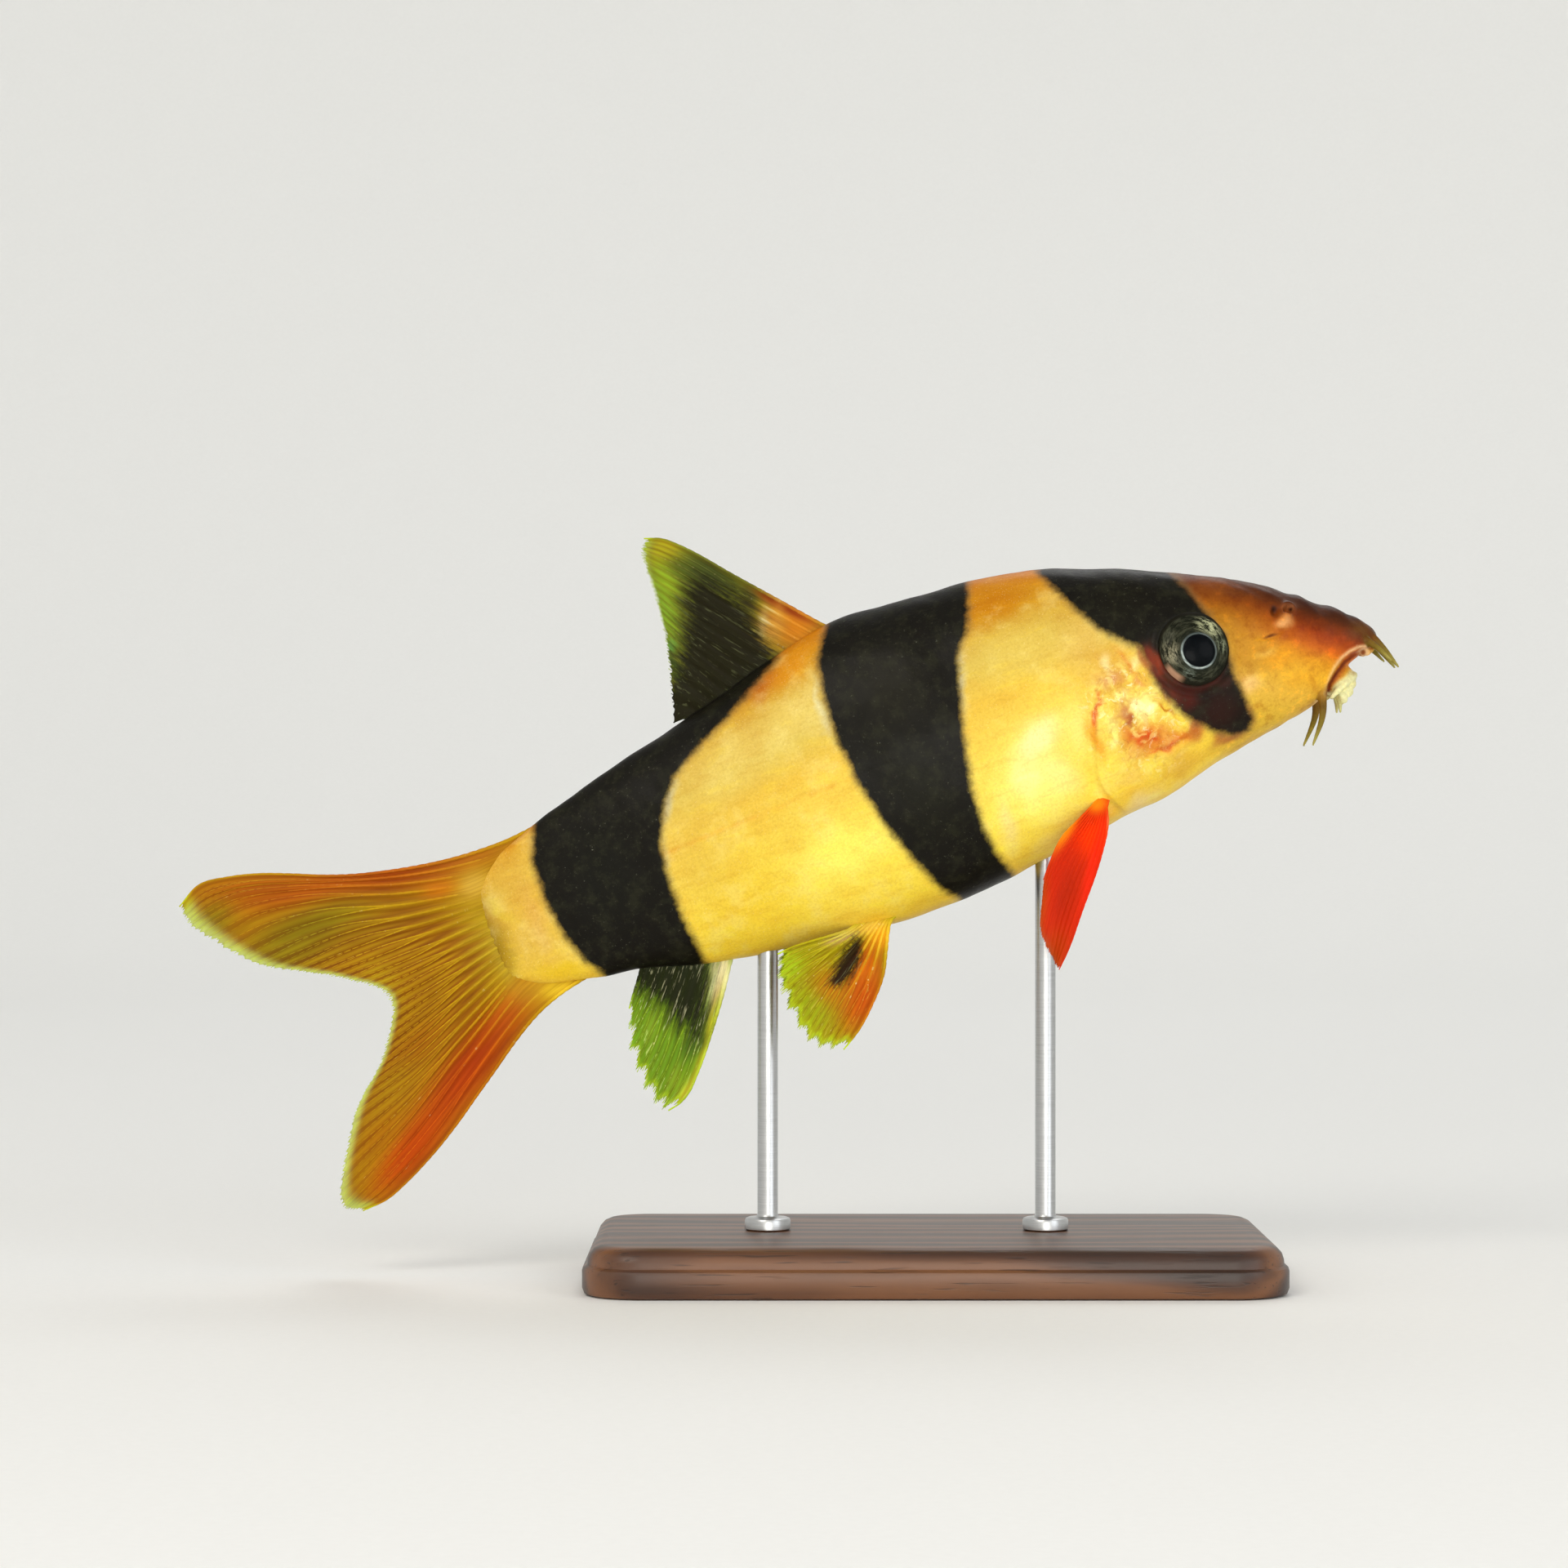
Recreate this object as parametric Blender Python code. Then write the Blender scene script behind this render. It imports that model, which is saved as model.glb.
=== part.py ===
# A clown loach, life size, as a still display model: the fish swims nose up, held over its base by two rods.
# The fish is drawn level, in millimetres: x runs forward to the snout, y to its left, z up.
# An empty then turns it nose up and lifts it, and the meshes themselves are in metres.

import math

import bmesh
import bpy
import numpy as np
from mathutils import Vector

MM = 0.001
GAP = 0.3

# How the level fish is set on its stand
PITCH = math.radians(20)
FISH_LIFT = 64.8

# The body's side outline and half width, as (x, value)
BACK = [
    (-58.4, 4.2), (-54, 6.2), (-49, 8.0), (-38, 11.2), (-26.5, 13.9), (-16, 16.8), (-6.5, 18.9),
    (4, 18.3), (13, 17.6), (20, 16.1), (28, 13.4), (36, 9.8), (44, 5.7), (49.5, 1.6), (53, -1.2), (56, -3.6),
]
BELLY = [
    (-58.4, -9.4), (-54, -10.9), (-48, -12.3), (-42.5, -13.1), (-36, -14.9), (-30, -16.2), (-22, -17.2),
    (-8, -18.6), (2, -18.2), (10, -17.2), (18, -16.0), (26, -15.0), (34, -13.0), (42, -11.7), (46.5, -10.5),
    (50, -8.5), (53, -7.2), (56, -6.9),
]
HALF_WIDTH = [
    (-58.4, 0.9), (-50, 2.7), (-40, 4.7), (-30, 6.6), (-16, 9.0), (-2, 10.1), (12, 10.0), (22, 9.2),
    (30, 8.0), (38, 6.5), (46, 4.8), (52, 3.4), (56, 2.2),
]
# Where a section is widest, as a share of its height, and how square it is above and below that
WIDEST = [(-58.4, 0.5), (-20, 0.5), (5, 0.46), (22, 0.42), (38, 0.42), (56, 0.42)]
SQUARE_ABOVE = [(-58.4, 2.0), (-10, 1.85), (12, 1.9), (30, 2.1), (56, 2.1)]
SQUARE_BELOW = [(-58.4, 2.0), (-20, 2.1), (5, 2.35), (25, 2.3), (38, 2.4), (46, 3.0), (56, 3.0)]
TAIL_END = -58.6
SNOUT_END = 56.0
SNOUT_ROUNDING = 3.2
TAIL_ROUNDING = 2.0
BODY_SIDES = 32
TRUNK_RING = 3.2
HEAD_RING = 1.5
HEAD_START = 17.0

# The tail swings a little to the fish's left, as in swimming
SWAY_START = -8.0
SWAY_END = -94.0
SWAY = 5.0

# The gill opening's edge, as (z, x); it also parts the head from the torso
GILL_EDGE = [(-20, 21.8), (-15, 19.4), (-11, 17.9), (-6.5, 18.9), (-2, 20.6), (2, 22.6), (8, 23.6), (20, 22.5)]
GILL_TOP = 2.5
GILL_BOTTOM = -15.5
GILL_RISE = 0.55
GILL_FADE = 9.0
TAIL_CUT = -29.0

# The eye: its visible radius, how thick the ball is and how far it stands out of the head
EYE_X = 33.8
EYE_Z = 0.6
EYE_RADIUS = 4.1
EYE_HALF_DEPTH = 2.8
EYE_PROUD = 1.15
EYE_RIM = 0.38

NOSTRIL_X = 46.9
NOSTRIL_Z = 1.2
NOSTRIL_RADIUS = 0.85
NOSTRIL_BORE = 0.45

LIP_RADIUS = 0.62
JAW_CENTRE = (49.7, -9.0)
JAW_RADII = (2.3, 2.5, 2.3)
BARBEL_TIP = 0.18

# Fins: the thickness of membrane, rays and outer margin, how far the membrane falls short of the ray tips,
# and how deep in the body a fin is begun before its root is cut to fit
MEMBRANE = 0.5
RAY_AT_ROOT = 1.5
RAY_AT_TIP = 1.0
MARGIN = 0.34
NOTCH = 0.7
ROOT_SINK = 1.6

# The display stand
BASE_LENGTH = 84.0
BASE_WIDTH = 46.0
BASE_HEIGHT = 6.0
BASE_CORNER = 7.0
BASE_EDGE = 1.0
ROD_RADIUS = 1.25
ROD_COLLAR_RADIUS = 2.8
ROD_COLLAR_HEIGHT = 1.6
ROD_XS = {"front": 14.0, "rear": -20.0}

COLOURS = {
    "flesh_gold": ((0.84, 0.56, 0.12), 0.38),
    "fin_red": ((0.80, 0.10, 0.02), 0.42),
    "fin_orange": ((0.72, 0.27, 0.03), 0.42),
    "fin_black": ((0.03, 0.025, 0.02), 0.45),
    "fin_olive": ((0.50, 0.50, 0.06), 0.42),
    "barbel_olive": ((0.42, 0.33, 0.08), 0.45),
    "jaw_pale": ((0.82, 0.72, 0.42), 0.45),
    "eye_dark": ((0.05, 0.06, 0.055), 0.12),
    "walnut": ((0.10, 0.055, 0.03), 0.4),
    "rod_steel": ((0.62, 0.62, 0.63), 0.28),
}


def clear_scene():
    for obj in list(bpy.data.objects):
        bpy.data.objects.remove(obj, do_unlink=True)


def line_through(points):
    # A smooth function through (position, value) points, whose slope at each is the mean of the slopes beside it
    places = np.array([p[0] for p in points], float)
    values = np.array([p[1] for p in points], float)
    slopes = np.diff(values) / np.diff(places)
    at = np.empty(len(values))
    at[0], at[-1] = slopes[0], slopes[-1]
    at[1:-1] = (slopes[:-1] + slopes[1:]) / 2

    def value(x):
        x = min(max(x, places[0]), places[-1])
        i = min(int(np.searchsorted(places, x, side="right")) - 1, len(places) - 2)
        h = places[i + 1] - places[i]
        t = (x - places[i]) / h
        low = (2 * t**3 - 3 * t**2 + 1) * values[i] + (t**3 - 2 * t**2 + t) * h * at[i]
        high = (3 * t**2 - 2 * t**3) * values[i + 1] + (t**3 - t**2) * h * at[i + 1]
        return float(low + high)

    return value


back_at = line_through(BACK)
belly_at = line_through(BELLY)
half_width_at = line_through(HALF_WIDTH)
widest_at = line_through(WIDEST)
square_above_at = line_through(SQUARE_ABOVE)
square_below_at = line_through(SQUARE_BELOW)
gill_edge_at = line_through(GILL_EDGE)


def sway_at(x):
    share = max(0.0, (SWAY_START - x) / (SWAY_START - SWAY_END))
    return SWAY * share**2


def in_place(point):
    # A point of the straight, level fish in millimetres, swung aside with the tail, in metres
    x, y, z = point
    return Vector((x, y + sway_at(x), z)) * MM


def end_rounding(x):
    # 1 along the body, falling to 0 like a circle at the snout and the tail's end
    into_snout = max(0.0, (x - (SNOUT_END - SNOUT_ROUNDING)) / SNOUT_ROUNDING)
    into_tail = max(0.0, (TAIL_END + TAIL_ROUNDING - x) / TAIL_ROUNDING)
    return math.sqrt(max(0.0, 1 - min(1.0, max(into_snout, into_tail)) ** 2))


def section(x, grow=0.0):
    # Half width, widest height, and the heights above and below it, of the body at x
    top, bottom = back_at(x), belly_at(x)
    middle = bottom + widest_at(x) * (top - bottom)
    rounding = end_rounding(x)
    width = half_width_at(x) * rounding + grow
    return width, middle, (top - middle) * rounding + grow, (middle - bottom) * rounding + grow


def gill_relief(x, z):
    # The gill cover stands out towards its hind edge and fades forward
    ahead = x - gill_edge_at(z)
    if ahead < -1e-6 or ahead > GILL_FADE or not GILL_BOTTOM < z < GILL_TOP:
        return 0.0
    along = (z - GILL_BOTTOM) / (GILL_TOP - GILL_BOTTOM)
    return GILL_RISE * (1 - ahead / GILL_FADE) * math.sin(math.pi * along) ** 0.6


def side_y(x, z):
    # The body's half width at the height z of the section at x
    width, middle, above, below = section(x)
    if z >= middle:
        height, square = above, square_above_at(x)
    else:
        height, square = below, square_below_at(x)
    share = min(1.0, abs(z - middle) / height)
    return width * (1 - share**square) ** (1 / square)


def side_normal(x, z, side):
    step = 0.2
    along = (side_y(x + step, z) - side_y(x - step, z)) / (2 * step)
    up = (side_y(x, z + step) - side_y(x, z - step)) / (2 * step)
    return Vector((-along, side, -up)).normalized()


def body_ring(x, grow=0.0, relief=True):
    width, middle, above, below = section(x, grow)
    ring = []
    for k in range(BODY_SIDES):
        angle = 2 * math.pi * k / BODY_SIDES
        across, up = math.cos(angle), math.sin(angle)
        square = square_above_at(x) if up >= 0 else square_below_at(x)
        y = width * math.copysign(abs(across) ** (2 / square), across)
        z = middle + (above if up >= 0 else below) * math.copysign(abs(up) ** (2 / square), up)
        if relief:
            y += math.copysign(gill_relief(x, z), y)
        ring.append((x, y, z))
    return ring


def material(name):
    colour, roughness = COLOURS[name]
    made = bpy.data.materials.get(name) or bpy.data.materials.new(name)
    made.use_nodes = True
    shader = made.node_tree.nodes["Principled BSDF"]
    shader.inputs["Base Color"].default_value = (*colour, 1)
    shader.inputs["Roughness"].default_value = roughness
    shader.inputs["Metallic"].default_value = 1.0 if name == "rod_steel" else 0.0
    return made


def mesh_object(name, points, faces, finish=None, parent=None):
    mesh = bpy.data.meshes.new(name)
    mesh.from_pydata([tuple(p) for p in points], [], faces)
    shape = bmesh.new()
    shape.from_mesh(mesh)
    bmesh.ops.recalc_face_normals(shape, faces=shape.faces)
    if shape.calc_volume(signed=True) < 0:
        bmesh.ops.reverse_faces(shape, faces=shape.faces)
    shape.to_mesh(mesh)
    shape.free()
    mesh.shade_smooth()
    obj = bpy.data.objects.new(name, mesh)
    bpy.context.scene.collection.objects.link(obj)
    obj.parent = parent
    if finish:
        mesh.materials.append(material(finish))
    return obj


def loft(rings):
    # Points and faces of a closed body through rings of equal count, each end closed to a point
    count = len(rings[0])
    points = [p for ring in rings for p in ring]
    faces = []
    for i in range(len(rings) - 1):
        for k in range(count):
            a, b = i * count + k, i * count + (k + 1) % count
            faces.append((a, b, b + count, a + count))
    for ring, offset in ((rings[0], 0), (rings[-1], (len(rings) - 1) * count)):
        points.append(tuple(np.mean([list(p) for p in ring], axis=0)))
        middle = len(points) - 1
        faces += [(offset + (k + 1) % count, offset + k, middle) for k in range(count)]
    return points, faces


def body_stations(start, end):
    # Where the rings lie: close together on the head and at both rounded ends
    stations = [start]
    while stations[-1] < end:
        x = stations[-1]
        step = TRUNK_RING if x < HEAD_START else HEAD_RING
        step *= 0.35 + 0.65 * end_rounding(x + 0.5 * step)
        stations.append(x + step)
    stations[-1] = end
    return stations


def body_solid(name, start, end, grow=0.0, finish=None, parent=None):
    inset = 0.02
    stations = body_stations(start + inset, end - inset)
    points, faces = loft([body_ring(x, grow) for x in stations])
    return mesh_object(name, [in_place(p) for p in points], faces, finish, parent)


def tube(path, radii, sides=8, closed=False):
    # Points and faces of a round tube along a path, with pointed ends, or joined end to end
    path = [Vector(p) for p in path]
    count = len(path)
    if closed:
        ways = [(path[(i + 1) % count] - path[i - 1]).normalized() for i in range(count)]
    else:
        ways = [(path[min(i + 1, count - 1)] - path[max(i - 1, 0)]).normalized() for i in range(count)]
    side = ways[0].orthogonal().normalized()
    rings = []
    for point, way, radius in zip(path, ways, radii):
        side = (side - way * side.dot(way)).normalized()
        other = way.cross(side)
        turns = [2 * math.pi * k / sides for k in range(sides)]
        rings.append([tuple(point + (side * math.cos(t) + other * math.sin(t)) * radius) for t in turns])
    if not closed:
        return loft(rings)
    points = [p for ring in rings for p in ring]
    faces = []
    for i in range(count):
        for k in range(sides):
            here, following = i * sides, (i + 1) % count * sides
            faces.append((here + k, here + (k + 1) % sides, following + (k + 1) % sides, following + k))
    return points, faces


def tube_object(name, path, radii, finish=None, parent=None, sides=8, closed=False):
    points, faces = tube(path, radii, sides, closed)
    return mesh_object(name, [in_place(p) for p in points], faces, finish, parent)


def smooth_path(points, count):
    # Evenly spread points on a smooth line through the given ones, by share of its length
    points = np.array(points, float)
    steps = np.linalg.norm(np.diff(points, axis=0), axis=1)
    shares = np.concatenate([[0], np.cumsum(steps)]) / steps.sum()
    lines = [line_through(list(zip(shares, points[:, k]))) for k in range(3)]
    return [tuple(line(share) for line in lines) for share in np.linspace(0, 1, count)]


def ellipsoid(name, centre, axes, radii, finish=None, parent=None, around=20, rings=10):
    # A round ball stretched by the radii along three axes at right angles, the last one being its pole
    points, faces = [], []
    for i in range(1, rings):
        for k in range(around):
            polar, turn = math.pi * i / rings, 2 * math.pi * k / around
            local = (math.sin(polar) * math.cos(turn), math.sin(polar) * math.sin(turn), math.cos(polar))
            points.append(centre + sum((axes[j] * radii[j] * local[j] for j in range(3)), Vector()))
    for i in range(rings - 2):
        for k in range(around):
            a, b = i * around + k, i * around + (k + 1) % around
            faces.append((a, b, b + around, a + around))
    for polar, offset in ((1, 0), (-1, (rings - 2) * around)):
        points.append(centre + axes[2] * radii[2] * polar)
        faces += [(offset + (k + 1) % around, offset + k, len(points) - 1) for k in range(around)]
    return mesh_object(name, [in_place(p) for p in points], faces, finish, parent)


def apply_modifiers(obj):
    graph = bpy.context.evaluated_depsgraph_get()
    made = bpy.data.meshes.new_from_object(obj.evaluated_get(graph))
    obj.modifiers.clear()
    obj.data = made


def keep_largest(obj):
    # Leaves only the largest closed surface of a mesh
    shape = bmesh.new()
    shape.from_mesh(obj.data)
    unseen, islands = set(shape.faces), []
    while unseen:
        front = [unseen.pop()]
        island = list(front)
        while front:
            near = {f for edge in front.pop().edges for f in edge.link_faces} & unseen
            unseen -= near
            front += near
            island += near
        islands.append(island)

    def volume(island):
        corners = [[v.co for v in f.verts] for f in island]
        return abs(sum(c[0].dot(c[i].cross(c[i + 1])) for c in corners for i in range(1, len(c) - 1)))

    islands.sort(key=volume)
    loose = [f for island in islands[:-1] for f in island]
    bmesh.ops.delete(shape, geom=loose, context="FACES")
    shape.to_mesh(obj.data)
    shape.free()


def cut(obj, cutters, operation="DIFFERENCE"):
    for cutter in cutters:
        step = obj.modifiers.new("cut", "BOOLEAN")
        step.operation = operation
        step.solver = "EXACT"
        step.object = cutter
    bpy.context.view_layer.update()
    apply_modifiers(obj)
    keep_largest(obj)


def fuse(obj, pieces):
    # One union of a collection of closed pieces with the object
    group = bpy.data.collections.new("pieces")
    bpy.context.scene.collection.children.link(group)
    for piece in pieces:
        bpy.context.scene.collection.objects.unlink(piece)
        group.objects.link(piece)
    step = obj.modifiers.new("fuse", "BOOLEAN")
    step.operation = "UNION"
    step.solver = "EXACT"
    step.operand_type = "COLLECTION"
    step.collection = group
    bpy.context.view_layer.update()
    apply_modifiers(obj)
    for piece in pieces:
        bpy.data.objects.remove(piece, do_unlink=True)
    bpy.data.collections.remove(group)
    keep_largest(obj)


def as_cutter(obj):
    obj.hide_render = True
    obj.display_type = "WIRE"
    return obj


def head_space(name, shift, parent):
    # Everything ahead of the gill opening's edge, as a slab across the fish
    reach, edge_points = 30.0, 29
    outline = []
    for z in np.linspace(-reach, reach, edge_points):
        near = min(max(z, GILL_EDGE[0][0]), GILL_EDGE[-1][0])
        outline.append((gill_edge_at(near) + shift, float(z)))
    outline += [(SNOUT_END + 20, reach), (SNOUT_END + 20, -reach)]
    count = len(outline)
    points = [Vector((x, y, z)) * MM for y in (-reach, reach) for x, z in outline]
    faces = [tuple(range(count)), tuple(range(2 * count - 1, count - 1, -1))]
    faces += [(k, (k + 1) % count, (k + 1) % count + count, k + count) for k in range(count)]
    return as_cutter(mesh_object(name, points, faces, parent=parent))


def eye_frame(side):
    # Centre of the eyeball and its axes, the last one looking out of the head
    out = side_normal(EYE_X, EYE_Z, side)
    surface = Vector((EYE_X, side * side_y(EYE_X, EYE_Z), EYE_Z))
    forward = (Vector((1, 0, 0)) - out * out.x).normalized()
    return surface + out * (EYE_PROUD - EYE_HALF_DEPTH), (forward, out.cross(forward), out)


def eye(name, side, grow, finish, parent):
    centre, axes = eye_frame(side)
    across = EYE_RADIUS / math.sqrt(1 - ((EYE_HALF_DEPTH - EYE_PROUD) / EYE_HALF_DEPTH) ** 2)
    radii = (across + grow, across + grow, EYE_HALF_DEPTH + grow)
    return ellipsoid(name, centre, axes, radii, finish, parent, around=20, rings=10)


def eye_rim(side, parent):
    # The fold of skin round the eye, lying on the head's surface
    _, (forward, up, _) = eye_frame(side)
    middle = Vector((EYE_X, side * side_y(EYE_X, EYE_Z), EYE_Z))
    path = []
    segments = 20
    for k in range(segments):
        turn = 2 * math.pi * k / segments
        place = middle + (forward * math.cos(turn) + up * math.sin(turn)) * (EYE_RADIUS + GAP + EYE_RIM)
        path.append((place.x, side * (side_y(place.x, place.z) - 0.1), place.z))
    return tube_object("rim", path, [EYE_RIM] * segments, parent=parent, sides=6, closed=True)


def nostril_tube(side, radius, reach, parent):
    surface = Vector((NOSTRIL_X, side * side_y(NOSTRIL_X, NOSTRIL_Z), NOSTRIL_Z))
    way = (side_normal(NOSTRIL_X, NOSTRIL_Z, side) + Vector((0.45, 0, 0.35))).normalized()
    path = [surface + way * (reach * share) for share in (-1.0, 0.0, 0.75, 1.0)]
    return tube_object("nostril", path, [radius, radius, radius, 0.8 * radius], parent=parent)


def nostril_flap(side, parent):
    # The round skin flap under the nostril
    x, z = NOSTRIL_X - 1.0, NOSTRIL_Z - 1.2
    out = side_normal(x, z, side)
    forward = (Vector((1, 0, 0)) - out * out.x).normalized()
    centre = Vector((x, side * side_y(x, z), z)) + out * 0.1
    return ellipsoid("flap", centre, (forward, out.cross(forward), out), (1.3, 0.95, 0.7), parent=parent,
                     around=10, rings=6)


def upper_lip_path():
    right = [(47.0, -2.9, -10.2), (48.8, -2.9, -8.6), (51.0, -2.75, -7.0), (53.4, -2.2, -6.4)]
    left = [(x, -y, z) for x, y, z in reversed(right)]
    return smooth_path([*right, (55.0, 0, -6.3), *left], 19)


def lower_lip_path():
    right = [(47.3, -2.2, -10.7), (49.6, -2.1, -9.9), (51.3, -1.2, -9.3)]
    left = [(x, -y, z) for x, y, z in reversed(right)]
    return smooth_path([*right, (51.9, 0, -9.1), *left], 13)


def lip_radii(count, radius):
    return [radius * (0.45 + 0.55 * math.sin(math.pi * (i + 0.5) / count) ** 0.5) for i in range(count)]


def make_head(fish):
    head = body_solid("head", TAIL_CUT, SNOUT_END, finish="flesh_gold", parent=fish)
    lip = tube_object("lip", upper_lip_path(), lip_radii(19, LIP_RADIUS), parent=fish)
    pieces = [lip]
    for side in (-1, 1):
        pieces += [eye_rim(side, fish), nostril_tube(side, NOSTRIL_RADIUS, 0.9, fish), nostril_flap(side, fish)]
    fuse(head, pieces)
    cut(head, [head_space("ahead_of_gills", 0.0, fish)], "INTERSECT")
    holes = [as_cutter(eye("socket", side, GAP, None, fish)) for side in (-1, 1)]
    holes += [as_cutter(nostril_tube(side, NOSTRIL_BORE, 1.6, fish)) for side in (-1, 1)]
    cut(head, holes)
    head.data.set_sharp_from_angle(angle=math.radians(40))


def make_lower_jaw(fish, head_parts):
    x, z = JAW_CENTRE
    axes = (Vector((1, 0, 0)), Vector((0, 1, 0)), Vector((0, 0, 1)))
    jaw = ellipsoid("lower_jaw", Vector((x, 0, z)), axes, JAW_RADII, "jaw_pale", fish, around=16, rings=10)
    fuse(jaw, [tube_object("lip", lower_lip_path(), lip_radii(13, LIP_RADIUS), parent=fish)])
    cut(jaw, head_parts)
    return jaw


def make_body(fish):
    torso = body_solid("torso", TAIL_CUT + GAP / 2, SNOUT_END, finish="flesh_gold", parent=fish)
    cut(torso, [head_space("gills_and_gap", -GAP, fish)])
    body_solid("tail", TAIL_END, TAIL_CUT - GAP / 2, finish="flesh_gold", parent=fish)


def rays_between(key_rays):
    # Gives the ray at any share v of the way from the fin's first key ray to its last, as a function of u along it
    samples = 13
    paths = np.array([smooth_path(ray, samples) for ray in key_rays])
    order = np.linspace(0, 1, len(key_rays))
    across = [[line_through(list(zip(order, paths[:, i, k]))) for k in range(3)] for i in range(samples)]
    shares = np.linspace(0, 1, samples)

    def ray_at(v):
        column = np.array([[line(v) for line in row] for row in across])
        lines = [line_through(list(zip(shares, column[:, k]))) for k in range(3)]
        length = np.linalg.norm(np.diff(column, axis=0), axis=1).sum()
        return (lambda u: np.array([line(u) for line in lines])), length

    return ray_at


def fin(name, key_rays, rays, rows, finish, parent, side=1):
    # A membrane with a ridge along each ray, drawn as one thin closed sheet: every second column is a ray
    ray_at = rays_between(key_rays)
    columns, step = 2 * rays - 1, 0.01
    sheet = columns * rows
    points = [None] * (2 * sheet)
    for j in range(columns):
        v, is_ray = j / (columns - 1), j % 2 == 0
        (ray, length), (before, _), (after, _) = ray_at(v), ray_at(max(v - step, 0)), ray_at(min(v + step, 1))
        reach = 1.0 if is_ray else 1 - NOTCH / length
        for i in range(rows):
            u = i / (rows - 1) * reach
            along = ray(min(u + step, 1)) - ray(max(u - step, 0))
            normal = np.cross(along, after(u) - before(u))
            normal /= np.linalg.norm(normal)
            thick = RAY_AT_ROOT + (RAY_AT_TIP - RAY_AT_ROOT) * u if is_ray or i < 2 else MEMBRANE
            thick = MARGIN if i == rows - 1 else thick
            for face in (0, 1):
                x, y, z = ray(u) + normal * thick * (0.5 - face)
                points[face * sheet + j * rows + i] = in_place((x, side * y, z))
    faces = []
    for j in range(columns - 1):
        for i in range(rows - 1):
            a, b = j * rows + i, (j + 1) * rows + i
            for triangle in ((a, b, b + 1), (a, b + 1, a + 1)):
                faces.append(triangle)
                faces.append(tuple(sheet + k for k in reversed(triangle)))
    rim = [j * rows for j in range(columns)]
    rim += [(columns - 1) * rows + i for i in range(1, rows)]
    rim += [j * rows + rows - 1 for j in range(columns - 2, -1, -1)]
    rim += list(range(rows - 2, 0, -1))
    following = rim[1:] + rim[:1]
    faces += [(a, sheet + a, sheet + b, b) for a, b in zip(rim, following)]
    return mesh_object(name, points, faces, finish, parent)


def in_plane(key_rays):
    # The rays of a fin on the fish's middle, from (x, z) points
    return [[(x, 0.0, z) for x, z in ray] for ray in key_rays]


def sunk(lines, depth=ROOT_SINK):
    # The same lines, all started deeper in the body, so that the cut gives them a root that fits the skin
    ways = [np.array(line[1], float) - np.array(line[0], float) for line in lines]
    way = sum(way / np.linalg.norm(way) for way in ways)
    way /= np.linalg.norm(way)
    return [[tuple(np.array(line[0], float) - way * depth), *line] for line in lines]


DORSAL = [
    [(-7.0, 18.6), (-11.0, 23.2), (-15.5, 28.4), (-19.5, 33.2), (-22.3, 36.0), (-24.4, 36.7)],
    [(-11.5, 17.9), (-17.5, 25.2), (-22.2, 31.2), (-25.2, 34.4)],
    [(-16.5, 16.6), (-20.6, 21.8), (-23.5, 26.0), (-25.4, 29.2)],
    [(-21.5, 15.3), (-23.6, 18.8), (-25.2, 21.6), (-26.1, 23.4)],
    [(-26.6, 13.8), (-27.2, 14.3), (-27.9, 14.7), (-28.5, 14.9)],
]
ANAL = [
    [(-31.9, -15.9), (-34.0, -19.1), (-37.0, -23.2), (-40.2, -27.2), (-43.0, -29.9), (-45.4, -30.6)],
    [(-34.5, -15.3), (-39.0, -21.2), (-43.3, -26.4), (-46.9, -29.8)],
    [(-37.4, -14.6), (-41.4, -19.6), (-44.9, -23.6), (-47.6, -26.0)],
    [(-40.1, -13.8), (-42.9, -17.2), (-45.9, -20.2), (-47.5, -21.4)],
    [(-42.6, -13.2), (-43.5, -14.4), (-44.6, -15.8), (-45.6, -17.2)],
]
CAUDAL_UPPER = [
    [(-50.5, 7.4), (-59.0, 7.4), (-66.0, 8.4), (-73.0, 10.1), (-84.0, 14.1), (-90.0, 14.9), (-93.8, 13.9)],
    [(-57.2, 4.5), (-66.0, 6.0), (-78.0, 9.6), (-92.9, 9.6)],
    [(-57.0, 2.0), (-66.0, 2.6), (-76.0, 4.0), (-87.0, 3.4)],
    [(-56.7, -0.4), (-63.0, -0.7), (-70.0, -0.9), (-78.2, -0.8)],
    [(-56.4, -3.0), (-62.0, -3.9), (-68.0, -4.9), (-73.2, -5.6)],
]
CAUDAL_LOWER = [
    [(-56.4, -3.4), (-62.0, -4.3), (-68.0, -5.3), (-73.2, -6.1)],
    [(-56.2, -5.6), (-63.0, -7.6), (-69.5, -10.0), (-76.3, -12.2)],
    [(-56.0, -7.6), (-64.0, -11.2), (-73.0, -15.4), (-82.3, -18.2)],
    [(-55.6, -9.2), (-65.0, -14.6), (-76.0, -21.4), (-86.8, -26.6)],
    [(-50.5, -11.9), (-56.0, -13.7), (-66.0, -20.2), (-72.0, -24.3), (-79.0, -28.2), (-84.9, -29.2)],
]
PECTORAL = [
    [(17.6, 6.7, -13.3), (16.6, 8.3, -15.8), (13.8, 10.6, -19.8), (9.9, 13.0, -24.3), (6.8, 14.5, -28.0),
     (4.9, 15.0, -29.9)],
    [(17.4, 6.8, -12.9), (14.4, 9.0, -16.4), (10.6, 11.2, -20.2), (6.9, 13.0, -24.5), (4.5, 14.0, -28.2)],
    [(17.2, 6.9, -12.6), (13.7, 8.8, -15.2), (10.1, 10.4, -18.0), (7.1, 11.8, -21.0), (4.5, 12.8, -24.5)],
    [(16.9, 7.0, -12.3), (13.9, 8.6, -13.8), (10.9, 9.8, -15.2), (8.9, 10.6, -17.0), (7.0, 11.4, -19.2)],
]
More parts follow.
